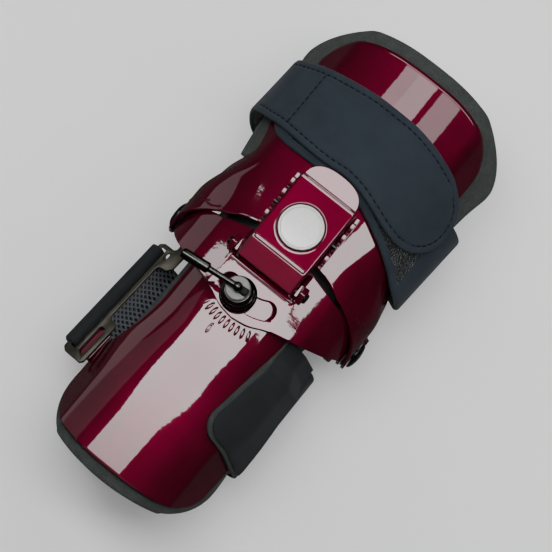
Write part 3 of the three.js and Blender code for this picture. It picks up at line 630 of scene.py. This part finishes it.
black = finish("black strap fabric", Roughness=0.86, Specular_IOR_Level=0.2, Sheen_Weight=0.06,
               Sheen_Roughness=0.4)
nap = noise(black, place(black), 0.35, 4)
tones(black, mixed(black, nap, 0.5, noise(black, place(black), 14, 4), 0.5),
      [(0.3, (0.0095, 0.0105, 0.012)), (0.7, (0.0155, 0.0175, 0.0195))])
relief(black, nap, 0.12, 0.55)


def pad_skin(u, v, inset):
    """Length round the plate, y, thickness and share of the bevelled rim for each place of the
    pad, u to the right and v towards the fingers. Its left edge slopes, its finger end thins
    out, and inset draws its left and lower edges in."""
    bottom = pad_low - pad_slant * u + corner_draw(1 - u, pad_corner_from, pad_corner) + inset
    y = bottom + (pad_high - bottom) * v
    slope = np.clip((pad_slope_from - y) / pad_slope_over, 0, 1)
    left = pad_left[0] + (pad_left[1] - pad_left[0]) * slope + inset
    full = pad_full + (pad_thin - pad_full) * np.clip((y - pad_thins_from) / pad_thins_over, 0, 1)
    s = left + (pad_right - left) * u
    from_edge = np.clip(np.minimum(s - left, y - bottom) / pad_rim, 0, 1)
    return s, y, full, from_edge


def pad_sheet(name, material, bottom_lift, top_lift, inset, edge):
    """A closed slab over the plate between two lifts, each a function of thickness and edge."""
    u, v = np.meshgrid(np.linspace(0, 1, 60), np.linspace(0, 1, 90), indexing="ij")
    s, y, full, from_edge = pad_skin(u, v, inset)
    top = trough(forearm_sections, s, y, top_lift(full, from_edge))
    base = trough(forearm_sections, s, y, bottom_lift(full, from_edge))
    count = u.size
    quads = grid_quads(*u.shape)
    index = np.arange(count).reshape(u.shape)
    rim = np.concatenate([index[:, 0], index[-1, 1:], index[-2::-1, -1], index[0, -2:0:-1]])
    after = np.roll(rim, -1)
    walls = np.stack([after, rim, rim + count, after + count], axis=1)
    faces = np.concatenate([quads, quads[:, ::-1] + count, walls])
    made = piece(name, np.concatenate([top.reshape(-1, 3), base.reshape(-1, 3)]), faces, material)
    return rounded(made, edge)


pad_core = pad_sheet("pad_core", foam, lambda full, rim: pad_lift + 0 * full,
                     lambda full, rim: pad_lift + full * (core_rim + core_rise * rim), 0, 0.3)
seat(pad_core, "forearm", "liner_foam", "forearm_pad")
pad_face = pad_sheet(
    "pad_face", black, lambda full, rim: pad_lift + face_low * full,
    lambda full, rim: pad_lift + full * (face_rim + face_rise * np.sqrt(rim)), face_inset, 0.35)
seat(pad_face, "forearm", "forearm_webbing", "forearm_pad")


# Forearm strap
# One wide band of webbing: down the right side, flat under the forearm, up through the
# bracket's slot, over its outer bar and down the outside. Its inner face is an open knit, with painted
# highlights on its cords.
def spline(points, places):
    """A centripetal Catmull-Rom curve through points, and its direction, at places that count
    points from 0: each stretch is a cubic whose end slopes come from its neighbours."""
    points = np.asarray(points, float)
    ends = [2 * points[0] - points[1]], [2 * points[-1] - points[-2]]
    padded = np.concatenate([ends[0], points, ends[1]])
    i = np.minimum(np.floor(places).astype(int), len(points) - 2)
    f = (places - i)[:, None]
    a, b, c, d = (padded[i + k] for k in range(4))
    gaps = [np.maximum(np.linalg.norm(q - p, axis=1, keepdims=True), 1e-8) ** 0.5
            for p, q in ((a, b), (b, c), (c, d))]
    gaps[1] = np.where(gaps[1] < 1e-3, 1, gaps[1])
    before = np.where(gaps[0] < 1e-3, gaps[1], gaps[0])
    after = np.where(gaps[2] < 1e-3, gaps[1], gaps[2])
    first = ((b - a) / before - (c - a) / (before + gaps[1]) + (c - b) / gaps[1]) * gaps[1]
    last = ((c - b) / gaps[1] - (d - b) / (gaps[1] + after) + (d - c) / after) * gaps[1]
    bend, twist = -3 * b + 3 * c - 2 * first - last, 2 * b - 2 * c + first + last
    return b + first * f + bend * f ** 2 + twist * f ** 3, first + 2 * bend * f + 3 * twist * f ** 2


class Band:
    """A strap along rows of (x, z, middle, half, drift): its middle line in the XZ plane, the
    middle and half of its width along Y, and how far it slants to +X for each mm of Y."""

    def __init__(self, rows, thickness, count, round_end=False):
        rows = np.asarray(rows, float)
        self.thickness = thickness
        places = np.linspace(0, len(rows) - 1, count)
        self.line, heading = spline(rows[:, :2], places)
        self.heading = unit(heading)
        widths = spline(rows[:, 2:4], places)[0]
        self.middle, self.half = widths[:, 0], widths[:, 1]
        self.drift = column(np.column_stack([np.arange(len(rows)), rows[:, 4]]), 1, places)
        steps = np.linalg.norm(np.diff(self.line, axis=0), axis=1)
        self.along = np.concatenate([[0], np.cumsum(steps)])
        self.reach = self.half.copy()
        if round_end:
            left = np.clip(1 - (self.along[-1] - self.along) / self.half, 0, 1)
            self.reach = self.half * np.sqrt(np.maximum(1 - left ** 2, 0.0004))

    def at(self, along, across, lift):
        """Points of the strap at a length along it: across and lift are millimetres off its
        middle line, added on along Y and along the line's normal."""
        x, z, run, rise, drift, middle = (np.interp(along, self.along, values) for values in (
            *self.line.T, *self.heading.T, self.drift, self.middle))
        across, lift = across + 0 * x, lift + 0 * x
        return np.stack([x - rise * lift + drift * across, middle + across,
                         np.maximum(z + run * lift, 0)], axis=-1)

    def mesh(self, name, materials, lines, top_relief=None, patch=None, inner_end=1e9):
        """A closed band: its round-edged section carried along its line. The second material
        goes on its inner side as far as inner_end, and on the patch of its outer side that
        patch picks by the lengths along and across."""
        along = self.along[:, None]
        radius = self.thickness / 2
        w = np.linspace(-1, 1, lines)
        turn = np.linspace(math.pi / 2, -math.pi / 2, 6)[1:-1]
        share = np.concatenate([w, np.ones(4), w[::-1], -np.ones(4)])
        out = np.concatenate([0 * w, radius * np.cos(turn), 0 * w, -radius * np.cos(turn)])
        lift = np.concatenate([0 * w + radius, radius * np.sin(turn),
                               0 * w - radius, -radius * np.sin(turn)])
        across = np.maximum(self.reach - radius, 0.05)[:, None] * share + out
        lifts = np.tile(lift, (len(along), 1))
        if top_relief:
            lifts[:, :lines] += top_relief(self, along, across[:, :lines])
        points = self.at(along, across, lifts)
        count = len(share)
        row, col = np.divmod(grid_quads(len(along), count + 1), count + 1)
        quads = row * count + col % count
        last = count * (len(along) - 1)
        caps = [tuple(range(count)), tuple(range(last, last + count))[::-1]]
        uv = np.stack([across, along + 0 * across], axis=-1).reshape(-1, 2)
        made = piece(name, points, [tuple(q) for q in quads[:, ::-1]] + caps, *materials, uv=uv)
        second = (col[:, 0] >= lines + 4) & (col[:, 0] < 2 * lines + 3) & (uv[quads[:, 0], 1] < inner_end)
        if patch:
            second |= (col[:, 0] < lines) & patch(self, uv[quads[:, 0], 1], uv[quads[:, 0], 0])
        made.data.polygons.foreach_set(
            "material_index", np.concatenate([second, [0, 0]]).astype(np.int32))
        return made


knit = finish("open knit strap face", Roughness=0.8, Specular_IOR_Level=0.35, Sheen_Weight=0.25,
              Sheen_Roughness=0.35)
cord_wave = 3.0
aslant = add(knit, "SeparateXYZ", {"Vector": place(knit, True, (0.8, 0.34, 1), math.radians(45))})
turns = [calc(knit, "MULTIPLY", aslant.outputs[k], 2 * math.pi / cord_wave) for k in range(2)]
cords_and_painted_highlights = calc(knit, "MAXIMUM", *(calc(knit, "ABSOLUTE", calc(knit, "SINE", turn)) for turn in turns))
# Painted highlight: the cords' crests get a pale tone, far lighter than the dark webbing, so that the knit
# shows in the shade under the bracket.
tones(knit, cords_and_painted_highlights, [(0.68, (0.003, 0.0035, 0.004)), (0.97, (0.26, 0.285, 0.325))])
relief(knit, cords_and_painted_highlights, 0.9, 0.9)

bracket_at, bracket_tilt, bar_at, fold, strap_thick = (-45, 40), math.radians(-20), -5.85, 2.5, 2
strap_middle, strap_half, strap_yaw, fold_steps, strap_count, slot_row = -50.8, 29.6, 0.058, 4, 330, 14.3
folded_rows = []
for k in range(fold_steps + 1):
    turn = math.pi * k / fold_steps
    u, w = bar_at + fold * math.cos(turn), fold * math.sin(turn)
    folded_rows.append((bracket_at[0] + u * math.cos(bracket_tilt) + w * math.sin(bracket_tilt),
                        bracket_at[1] - u * math.sin(bracket_tilt) + w * math.cos(bracket_tilt), strap_yaw))
forearm_rows = [
    (35, 46.4, 0), (37, 41, 0), (39.8, 33.5, 0), (42.8, 25, 0), (42.6, 14.5, 0), (35.4, 5.5, 0),
    (25, 1.5, 0), (18, 1, 0), (0, 1, 0), (-16, 1, 0), (-23, 1.5, 0), (-33, 6, 0.01), (-41, 14, 0.03),
    (-46, 25, 0.05), (-47.9, 34, strap_yaw), *folded_rows, (-53.4, 31, strap_yaw),
    (-51.6, 22, 0.05), (-47.5, 14.2, 0.04),
]
forearm_band = Band([(x, z, strap_middle, strap_half, drift) for x, z, drift in forearm_rows],
                    strap_thick, strap_count)
knit_end = np.interp(slot_row, np.linspace(0, len(forearm_rows) - 1, strap_count), forearm_band.along)
forearm_strap = forearm_band.mesh("forearm_strap_band", (black, knit), 60, inner_end=knit_end)
seat(forearm_strap, "forearm", "forearm_webbing", "forearm_strap")

# Hand strap
# One long band of soft bluish black fabric round the palm. Its first end lies on the plate,
# and its last end comes over the top as a flap with a round end, sewn round its edge.
flap = finish("bluish black strap fabric", Roughness=0.84, Specular_IOR_Level=0.2, Sheen_Weight=0.06,
              Sheen_Roughness=0.4)
brushed = noise(flap, place(flap, True, (1, 1.6, 1)), 0.3, 4)
tones(flap, mixed(flap, brushed, 0.5, noise(flap, place(flap), 12, 4), 0.5),
      [(0.3, (0.0125, 0.0175, 0.0235)), (0.7, (0.021, 0.028, 0.0365))])
relief(flap, brushed, 0.12, 0.5)

pile = finish("loop pile", Roughness=0.95, Specular_IOR_Level=0.2, Sheen_Weight=0.35, Sheen_Roughness=0.3)
loops = mixed(pile, cells(pile, place(pile), 0.85), 1, noise(pile, place(pile), 0.5, 4), 0.6)
tones(pile, loops, [(0.25, (0.03, 0.034, 0.038)), (0.95, (0.005, 0.006, 0.007))])
relief(pile, loops, 0.8, 1.0)

hand_rows = [
    (-40.6, 62.9, 70, 18.6, 0), (-36.2, 67.3, 67, 19.2, 0), (-30, 70.6, 65.6, 19.6, 0),
    (-20, 73.4, 65.2, 19.8, 0), (-10, 75, 65, 19.8, 0), (0, 75.5, 64.6, 19.9, 0),
    (10, 75, 63.9, 20, 0), (20, 73.4, 60.8, 20.3, 0), (30, 70.6, 56.5, 20.5, 0),
    (36.2, 67.3, 53.5, 20.8, 0), (41.5, 62.4, 51, 21.2, 0), (46.2, 58.9, 48, 21.6, 0),
    (50.4, 54.6, 46.2, 21.9, 0.02), (53.4, 49, 46, 22, 0.04), (54.8, 42, 46.2, 22, 0.06),
    (54.2, 33, 47, 21.5, 0.08), (52.3, 23, 49, 20.5, 0.1), (47.8, 13, 52, 19.6, 0.1),
    (39.6, 5, 56, 19, 0.06), (28, 1.7, 60, 18.6, 0), (19, 1.1, 62, 18.4, 0), (0, 1.1, 64.5, 18, 0),
    (-19, 1.1, 67, 17.6, 0), (-28, 1.7, 68, 17.2, 0), (-40, 5, 69, 16.8, 0.03),
    (-48.8, 13, 69.8, 16.2, 0.07), (-53.2, 23, 70.2, 15.8, 0.1), (-54.7, 33, 70.4, 15.4, 0.1),
    (-54.9, 43, 70.5, 15.2, 0.08), (-53.8, 51, 70.3, 15.4, 0.04), (-50.8, 58, 69.6, 16, 0),
    (-46, 63.6, 69, 16.6, 0), (-39.6, 69.2, 68.8, 17.2, 0), (-32, 73, 68.6, 18.2, 0),
    (-20, 76.6, 68.2, 19.4, 0), (-10, 78, 68.3, 20, 0), (0, 78.4, 68.6, 19.6, 0),
    (10, 78, 67.8, 20.2, 0), (20, 76.6, 65.6, 21.1, 0), (30, 73.7, 63, 21.4, 0),
    (37.8, 69.6, 61.6, 20.6, 0), (43.4, 65.2, 61.2, 19.6, 0), (47.8, 61.4, 61.4, 19.2, 0),
    (51.2, 57.6, 62, 19, 0),
]
hand_width, hand_thick, hand_count = 38, 2.2, 620
seam_inset, seam_depth, seam_half, cross_seam_half = 3.3, 0.55, 0.6, 0.7
edge_roll, edge_drop, binding = 1.8, 0.3, 3.4
hand_band = Band(hand_rows, hand_thick, hand_count, round_end=True)


def nearest_along(band, x, z):
    """Length along the strap to the point of its line that is nearest to a place."""
    return band.along[int(np.argmin(np.hypot(band.line[:, 0] - x, band.line[:, 1] - z)))]


pile_end = nearest_along(hand_band, 47, 58)
flap_start, cross_seam = nearest_along(hand_band, -52, 56), nearest_along(hand_band, -36, 71)
flap_end = hand_band.along[-1]


def edge_gap(band, along, across):
    """Distance in from the strap's outline: from its sides, and at its last end from a half
    circle as wide as the strap."""
    to_end = band.along[-1] - along
    half = np.interp(along, band.along, band.half)
    return np.where(to_end < half, half - np.hypot(half - to_end, across), half - np.abs(across))


def sewn_relief(band, along, across):
    """Bell-shaped grooves where the seams pull the fabric in, and edges that roll down by the
    square of how near they are."""
    gap = edge_gap(band, along, across)
    groove = np.exp(-((gap - seam_inset) / seam_half) ** 2) * (along > flap_start)
    cross = np.exp(-((along - cross_seam) / cross_seam_half) ** 2) * (gap > seam_inset)
    roll = np.clip(1 - gap / edge_roll, 0, 1) ** 2
    return -seam_depth * np.maximum(groove, cross) - edge_drop * roll


def pile_patch(band, along, across):
    """Where the fastening's loops are: on the under layer, inside its smooth binding."""
    return (along < pile_end) & (edge_gap(band, along, across) > binding)


hand_strap = hand_band.mesh("hand_strap_band", (flap, pile), 74, sewn_relief, pile_patch)
seat(hand_strap, "hand", "hand_webbing", "hand_strap")

# Stitches
# Dark thread in single stitches, round the edge of the flap and once across it, where the
# flap's layers are sewn together. Each stitch lies in the groove that it pulls in.
stitch_pitch, stitch_long, stitch_wide, stitch_high = 3.2, 2.3, 0.46, 0.3


def stitch_row(band, along, across, lift):
    """Middle, direction and normal of each stitch on a flat path over the strap."""
    steps = np.concatenate([[0], np.cumsum(np.hypot(np.diff(along), np.diff(across)))])
    places = np.arange(stitch_pitch / 2, steps[-1], stitch_pitch)

    def point(shift, height):
        return band.at(*(np.interp(places + shift, steps, values) for values in (along, across)), height)

    first, last = point(-stitch_long / 2, lift), point(stitch_long / 2, lift)
    middle = (first + last) / 2
    return middle, last - first, middle - point(0, lift - 1)


def stitches(name, rows, material):
    """All the stitches of some rows as one piece: each is a ball drawn out along the row, with
    seven rings of eight points."""
    middle, way, normal = (np.concatenate([row[k] for row in rows]) for k in range(3))
    way = unit(way)
    side = unit(np.cross(normal, way))
    normal = np.cross(way, side)
    end_turn = np.linspace(0.2, math.pi - 0.2, 7)[None, :, None, None]
    round_turn = np.linspace(0, 2 * math.pi, 9)[:-1][None, None, :, None]
    middle, way, side, normal = (values[:, None, None, :] for values in (middle, way, side, normal))
    points = (middle - way * stitch_long / 2 * np.cos(end_turn) + np.sin(end_turn) * (
        side * stitch_wide * np.cos(round_turn) + normal * stitch_high * np.sin(round_turn)))
    row, col = np.divmod(grid_quads(7, 9), 9)
    one = [tuple(q) for q in (row * 8 + col % 8)[:, ::-1]] + [tuple(range(8)), tuple(range(48, 56))[::-1]]
    faces = [tuple(56 * k + i for i in face) for k in range(len(points)) for face in one]
    return piece(name, points, faces, material)


thread = finish("seam thread", Roughness=0.8, Specular_IOR_Level=0.1)
strands = noise(thread, place(thread), 0.3, 3)
tones(thread, strands, [(0.3, (0.002, 0.0025, 0.006)), (0.7, (0.005, 0.007, 0.014))])
relief(thread, strands, 0.06, 0.6)
seam_lift = hand_thick / 2 - seam_depth + 0.08
straight = np.linspace(flap_start, flap_end - hand_band.half[-1], 200)
edge_line = np.interp(straight, hand_band.along, hand_band.half) - seam_inset
end_radius = hand_band.half[-1] - seam_inset
swing = np.linspace(math.pi / 2, -math.pi / 2, 60)[1:-1]
around = (np.concatenate([straight, straight[-1] + end_radius * np.cos(swing), straight[::-1]]),
          np.concatenate([edge_line, end_radius * np.sin(swing), -edge_line[::-1]]))
cross_half = np.interp(cross_seam, hand_band.along, hand_band.half) - seam_inset
across_row = (np.array([cross_seam, cross_seam]), np.array([-cross_half, cross_half]))
flap_stitches = stitches("flap_stitches", [
    stitch_row(hand_band, *around, seam_lift), stitch_row(hand_band, *across_row, seam_lift)], thread)
seat(flap_stitches, "hand", "hand_webbing")

# Bracket tongue
# A red tab of the forearm plate's sheet metal that the bracket sits on. It shows through the
# bracket's rounded slot.
bracket_place = Matrix.Translation((bracket_at[0], -50, bracket_at[1])) @ Matrix.Rotation(
    math.radians(-3.3), 4, "Z") @ Matrix.Rotation(bracket_tilt, 4, "Y")


def moved(points, matrix):
    """Points carried over by a matrix."""
    matrix = np.array(matrix)
    return np.asarray(points) @ matrix[:3, :3].T + matrix[:3, 3]


def slab(name, outline, low, high, material, edge, matrix):
    """A flat plate between two heights with an outline that runs counter-clockwise."""
    outline = np.asarray(outline, float)
    count = len(outline)
    points = np.concatenate([np.column_stack([outline, np.full(count, z)]) for z in (low, high)])
    first = np.arange(count)
    after = np.roll(first, -1)
    walls = np.stack([first, after, after + count, first + count], axis=1)
    faces = [tuple(w) for w in walls] + [tuple(first[::-1]), tuple(first + count)]
    return rounded(piece(name, moved(points, matrix), faces, material), edge)


def round_box(x0, x1, y0, y1, radius):
    """Outline of a rectangle whose corners are quarter circles, counter-clockwise."""
    corners = ((x1 - radius, y0 + radius, -90), (x1 - radius, y1 - radius, 0),
               (x0 + radius, y1 - radius, 90), (x0 + radius, y0 + radius, 180))
    turns = np.radians(np.linspace(0, 90, 9))
    return np.concatenate([np.column_stack([
        x + radius * np.cos(turns + math.radians(start)),
        y + radius * np.sin(turns + math.radians(start))]) for x, y, start in corners])


tongue = slab("bracket_tongue", round_box(-0.4, 6.4, -32, -16, 1.4), -2.6, -1.2, red, 0.4, bracket_place)
seat(tongue, "forearm", "red_metal", "forearm_plate")

# Latch base, pin and nuts
# A red base with two lugs stands on the wrist plate. A black pin goes through the lugs and
# the latch, with a red hexagonal nut on each side. The swivel's black pin is under the base.
black_metal = finish("black oxide steel", Metallic=0.9, Roughness=0.3, Coat_Weight=0.3, Coat_Roughness=0.12)
oxide = noise(black_metal, place(black_metal), 1.2, 5)
tones(black_metal, oxide, [(0.35, (0.012, 0.012, 0.013)), (0.65, (0.026, 0.026, 0.028))])
between(black_metal, oxide, 0.24, 0.38)
relief(black_metal, oxide, 0.02, 0.5)

for node, width in (("latch_base", 0.28), ("hinge_nut_right", 0.4), ("hinge_nut_left", 0.4)):
    seat(merged_copy(node, node + "_cut", red, width), "wrist", "red_metal", node)


def coated(material, *nodes):
    """Plain solids whose shape is right get a finish."""
    for node in nodes:
        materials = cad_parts[node].data.materials
        materials.clear()
        materials.append(material)


coated(black_metal, "hinge_pin", "latch_cross_pin", "swivel_pin")

# Latch cover
# A box folded from red sheet with rounded folds. Its top slopes down to the hinge, and it has
# a raised rib at that fold, a round recess for the disc and a separate round thumb tab.
latch_half, latch_fold, latch_wall, latch_low, latch_bend, latch_high = 15.3, 1.5, 1.4, -8.2, 1.8, 37.4
latch_top = [(latch_low, 80.8), (1.2, 83.05), (1.8, 83.15), (2.6, 83.2), (latch_high, 83.2)]
latch_foot = [(latch_low, 74.4), (-7.2, 73.7), (-1, 73.7), (4, 75.3), (8, 77.9), (latch_high, 77.9)]
disc_y, recess_radius, recess_depth, recess_slope = 17.6, 10.75, 0.65, 0.4
lip_rise, lip_out, lip_half = 0.07, 0.45, 0.28
rib_half, rib_long, rib_rise, rib_lean, rib_fade = 0.75, 12.9, 0.34, 0.1, 0.24
bead_rise, bead_in, bead_half = 0.22, 0.45, 0.38

section_x = np.concatenate([
    np.full(8, -latch_half), -latch_half + latch_fold * (1 - np.cos(np.linspace(0, math.pi / 2, 9)[1:])),
    np.linspace(-latch_half + latch_fold, latch_half - latch_fold, 92)[1:-1],
    latch_half - latch_fold * (1 - np.cos(np.linspace(math.pi / 2, 0, 9)[:-1])), np.full(8, latch_half)])
section_fall = np.concatenate([
    np.full(8, latch_fold), latch_fold * (1 - np.sin(np.linspace(0, math.pi / 2, 9)[1:])), np.zeros(90),
    latch_fold * (1 - np.sin(np.linspace(math.pi / 2, 0, 9)[:-1])), np.full(8, latch_fold)])
side_share = np.concatenate([np.linspace(1, 0, 8), np.zeros(106), np.linspace(0, 1, 8)])
cover_y = np.concatenate([
    np.linspace(latch_low, 0.8, 16), np.linspace(1, 4.2, 22), np.linspace(4.6, latch_high, 92)])
cover_x, cover_y = np.meshgrid(section_x, cover_y, indexing="ij")
cover_top = np.interp(cover_y, *zip(*latch_top))
cover_z = cover_top - section_fall[:, None]
cover_foot = np.interp(cover_y, *zip(*latch_foot))
cover_z = cover_z + (cover_foot - cover_z) * side_share[:, None]
from_disc = np.hypot(cover_x, cover_y - disc_y) - recess_radius
sink = recess_depth * np.clip(0.5 - from_disc / recess_slope, 0, 1)
lip = lip_rise * np.exp(-((from_disc - lip_out) / lip_half) ** 2)
past_fold = cover_y - latch_bend - rib_half
rib_gap = np.hypot(np.maximum(np.abs(cover_x) - rib_long, 0), past_fold)
rib = (rib_rise + rib_lean * past_fold) * np.clip((rib_half + rib_fade / 2 - rib_gap) / rib_fade, 0, 1)
bead = bead_rise * np.exp(-((cover_y - latch_high + bead_in) / bead_half) ** 2)
bead = bead * (side_share[:, None] == 0)
cover_z = cover_z - sink + lip + rib + bead
cover_points = np.stack([cover_x, cover_y, cover_z], axis=-1)
cover = sheet("latch_cover", cover_points, grid_quads(*cover_x.shape), red, latch_wall, EDGE)
seat(cover, "latch", "red_metal", "latch_box")

tab_half, tab_from, tab_reach = 14.1, 0.6, 9.5
tab_turn = np.linspace(0, math.pi, 41)
tab_outline = np.column_stack([
    tab_half * np.sign(np.cos(tab_turn)) * np.abs(np.cos(tab_turn)) ** 0.8,
    tab_from + (tab_reach - tab_from) * np.sin(tab_turn) ** 0.9])
tab_outline = np.concatenate([[(-tab_half, 0.5), (tab_half, 0.5)], tab_outline[1:-1]])
tab_frame = Matrix.Translation((0, latch_high + EDGE, 81.8)) @ Matrix.Rotation(math.radians(6.5), 4, "X")
thumb_tab = slab("thumb_tab", tab_outline, 0, 1.35, red, 0.35, tab_frame)
seat(thumb_tab, "latch", "red_metal", "latch_box")
tab_root = slab("tab_root", round_box(-12, 12, -2, 2.5, 0.6), -0.9, -0.05, red, 0.2, tab_frame)
seat(tab_root, "latch", "red_metal", "latch_box")


# Disc
# A plain pale disc of satin metal with a raised rim and a slightly domed middle. It is glued
# into the latch's round recess.
def turned(name, profile, material, edge, steps, matrix):
    """A solid turned about Z from (radius, height) points, closed flat at both ends."""
    radius, height = np.asarray(profile, float).T
    spin = np.linspace(0, 2 * math.pi, steps + 1)[:-1]
    points = np.stack([radius[:, None] * np.cos(spin), radius[:, None] * np.sin(spin),
                       height[:, None] + 0 * spin], axis=-1)
    row, col = np.divmod(grid_quads(len(radius), steps + 1), steps + 1)
    quads = (row * steps + col % steps)[:, ::-1]
    last = steps * (len(radius) - 1)
    faces = [tuple(q) for q in quads] + [tuple(range(steps))[::-1], tuple(range(last, last + steps))]
    made = piece(name, moved(points.reshape(-1, 3), matrix), faces, material)
    return rounded(made, edge, 30)


satin = finish("satin pale metal", Metallic=0.35, Roughness=0.38, Coat_Weight=0.35, Coat_Roughness=0.15)
brushing = noise(satin, place(satin, stretch=(1, 0.15, 1)), 0.4, 4)
tones(satin, brushing, [(0.3, (0.5, 0.52, 0.5)), (0.7, (0.62, 0.64, 0.62))])
between(satin, brushing, 0.32, 0.46)
relief(satin, brushing, 0.03, 0.3)
dome_radius, dome_foot, dome_rise = 8.9, 83.55, 0.3
dome = [(dome_radius * math.sin(a), dome_foot + dome_rise * math.cos(a))
        for a in np.linspace(math.pi / 2, 0.05, 9)]
disc = turned(
    "bare_disc", [(10.2, 82.75), (10.2, 83.75), (9.9, 83.95), (9.3, 83.95), (9.05, 83.6), *dome],
    satin, 0.15, 96, Matrix.Translation((0, disc_y, 0)))
seat(disc, "latch", "silver", "emblem_disc")

# Toothed rails
# Two rails of red sheet metal stand on the hand plate beside the latch. The latch's cross pin
# drops between their flat-topped, round-cornered teeth.
rail_inner, rail_outer, rail_y, rail_top, rail_foot, rail_end = 15.9, 17.7, (9, 38.5), 77.3, 72.6, 75.4
tooth_pitch, tooth_first, tooth_count, notch_half, notch_depth = 6.2, 11.5, 5, 0.75, 2.1
rail_line = [(rail_y[0], rail_foot), (rail_y[1], rail_foot), (rail_y[1], rail_end)]
for k in range(tooth_count - 2, -1, -1):
    low_y = tooth_first + tooth_pitch * k + notch_half
    high_y = tooth_first + tooth_pitch * k + tooth_pitch - notch_half
    rail_line += [
        (high_y + 0.1, rail_top - notch_depth), (high_y - 0.1, rail_top - 0.5), (high_y - 0.7, rail_top),
        (low_y + 0.6, rail_top - 0.2), (low_y, rail_top - 0.7), (low_y - 0.2, rail_top - notch_depth)]
rail_line += [(tooth_first - notch_half, rail_top - 0.8), (tooth_first - 2, rail_top - 0.6),
              (rail_y[0], rail_end)]
z_to_x = Matrix(((0, 0, 1, 0), (1, 0, 0, 0), (0, 1, 0, 0), (0, 0, 0, 1)))
for side, low_x, high_x in (("right", rail_inner, rail_outer), ("left", -rail_outer, -rail_inner)):
    rail = slab("rail_" + side, rail_line, low_x, high_x, red, 0.3, z_to_x)
    seat(rail, "hand", "red_metal", "rack_" + side)

# Side rivets, washers and ear pad
# Low domed black rivets that the hand plate turns on, thin spacers between the ears and a
# round foam pad inside the right ear.
nylon = finish("black nylon", Roughness=0.55)
grain = noise(nylon, place(nylon), 0.8, 4)
tones(nylon, grain, [(0.3, (0.012, 0.012, 0.012)), (0.7, (0.022, 0.022, 0.022))])
coated(nylon, "side_washer_right", "side_washer_left")

head_radius, head_foot, head_rise = 6.85, 52.2, 2.3
rivet_profile = [(5, 45.3), (5, 46.5), (2.8, 46.6), (2.8, 51.85), (head_radius, 51.85)]
rivet_profile += [(head_radius * math.cos(a), head_foot + head_rise * math.sin(a))
                  for a in np.linspace(0, math.pi / 2 - 0.08, 12)]
for side, name in ((1, "right"), (-1, "left")):
    outward_x = Matrix(((0, 0, side, 0), (1, 0, 0, rivet_y), (0, side, 0, rivet_z), (0, 0, 0, 1)))
    rivet = turned("rivet_" + name, rivet_profile, black_metal, 0.2, 72, outward_x)
    seat(rivet, "wrist", "black_metal", "side_rivet_" + name)

ear_pad_at, ear_pad_radius, ear_pad_thick = (41, -2.2, 37), 11.4, 3.9
ear_pad = turned("ear_pad_disc", [(ear_pad_radius, 0), (ear_pad_radius, ear_pad_thick)], foam, 0.9, 72,
                 Matrix.Translation(ear_pad_at) @ z_to_x)
seat(ear_pad, "wrist", "liner_foam", "ear_pad")

# Swivel clamp
# A ringed dark knob on a stud, with a pale satin cap, and a polished lever whose ball sits in
# a dark fork across the cap.
gunmetal = finish("polished gunmetal", Metallic=1.0, Roughness=0.2, Coat_Weight=0.4, Coat_Roughness=0.06)
film = noise(gunmetal, place(gunmetal), 1.4, 4)
tones(gunmetal, film, [(0.35, (0.03, 0.032, 0.026)), (0.65, (0.06, 0.062, 0.052))])
between(gunmetal, film, 0.14, 0.26)
relief(gunmetal, film, 0.015, 0.5)

clamp_crown, lever_z, lever_turn, ball_radius = 66, 15.6, math.radians(186), 2.35
clamp_tilt = math.asin(stud[0] / (clamp_crown - METAL))
clamp_frame = Matrix.Translation((*stud, wrist_crest)) @ Matrix.Rotation(clamp_tilt, 4, "Y")
lever_frame = clamp_frame @ Matrix.Translation((0, 0, lever_z)) @ Matrix.Rotation(lever_turn, 4, "Z")

cap_steel = finish("satin grey cap", Metallic=0.4, Roughness=0.45)
speckle = noise(cap_steel, place(cap_steel), 0.45, 4)
tones(cap_steel, speckle, [(0.3, (0.1, 0.102, 0.097)), (0.7, (0.16, 0.162, 0.155))])
relief(cap_steel, speckle, 0.04, 0.4)
blackened = finish("blackened fork", Roughness=0.6, Specular_IOR_Level=0.12)
soot = noise(blackened, place(blackened), 0.8, 4)
tones(blackened, soot, [(0.3, (0.006, 0.006, 0.006)), (0.7, (0.013, 0.013, 0.012))])

stud_piece = turned("clamp_stud_turned", [(3.5, -1.6), (3.5, 5.6)], steel, 0.3, 48, clamp_frame)
seat(stud_piece, "forearm", "dark_steel", "clamp_stud")
hub = turned("clamp_hub_rings", [
    (8.5, 0.6), (8.5, 1.7), (8.1, 2.2), (7.5, 2.5), (7.5, 3.1), (7.85, 3.5), (7.7, 4.7), (7.1, 5.2),
    (6.6, 5.4), (6.6, 6.1), (6.9, 6.5), (6.75, 7.9), (6.2, 8.5), (6.1, 10.3), (5.9, 10.7), (5.4, 10.8),
], gunmetal, 0.12, 96, clamp_frame)
seat(hub, "lever", "gunmetal", "clamp_hub")
cap = turned("clamp_cap_disc", [(5.6, 10.9), (5.6, 13), (5.2, 13.45)], cap_steel, 0.15, 96, clamp_frame)
seat(cap, "lever", "silver", "clamp_cap")
ball = [(ball_radius * math.sin(a), -ball_radius * math.cos(a))
        for a in np.linspace(0.1, math.pi - 0.72, 12)]
lever_piece = turned("clamp_lever_turned", [
    *ball, (1.5, 2.3), (1.45, 14.3), (1.8, 14.8), (2.35, 15.1), (2.5, 15.5), (2.5, 27.4), (2.25, 28.3),
    (1.5, 28.8), (0.4, 28.9)], gunmetal, 0.1, 48, lever_frame @ z_to_x)
seat(lever_piece, "lever", "gunmetal", "clamp_lever")
fork_frame = clamp_frame @ Matrix.Rotation(lever_turn, 4, "Z")
fork = slab("clamp_fork", [
    (-5.3, -1.3), (-4.6, -2), (-1, -1.7), (2, -1.7), (2.4, 0), (2, 1.7), (-1, 1.7), (-4.6, 2),
    (-5.3, 1.3)], 12.8, 15.2, blackened, 1.0, fork_frame)
seat(fork, "lever", "gunmetal", "clamp_lever")
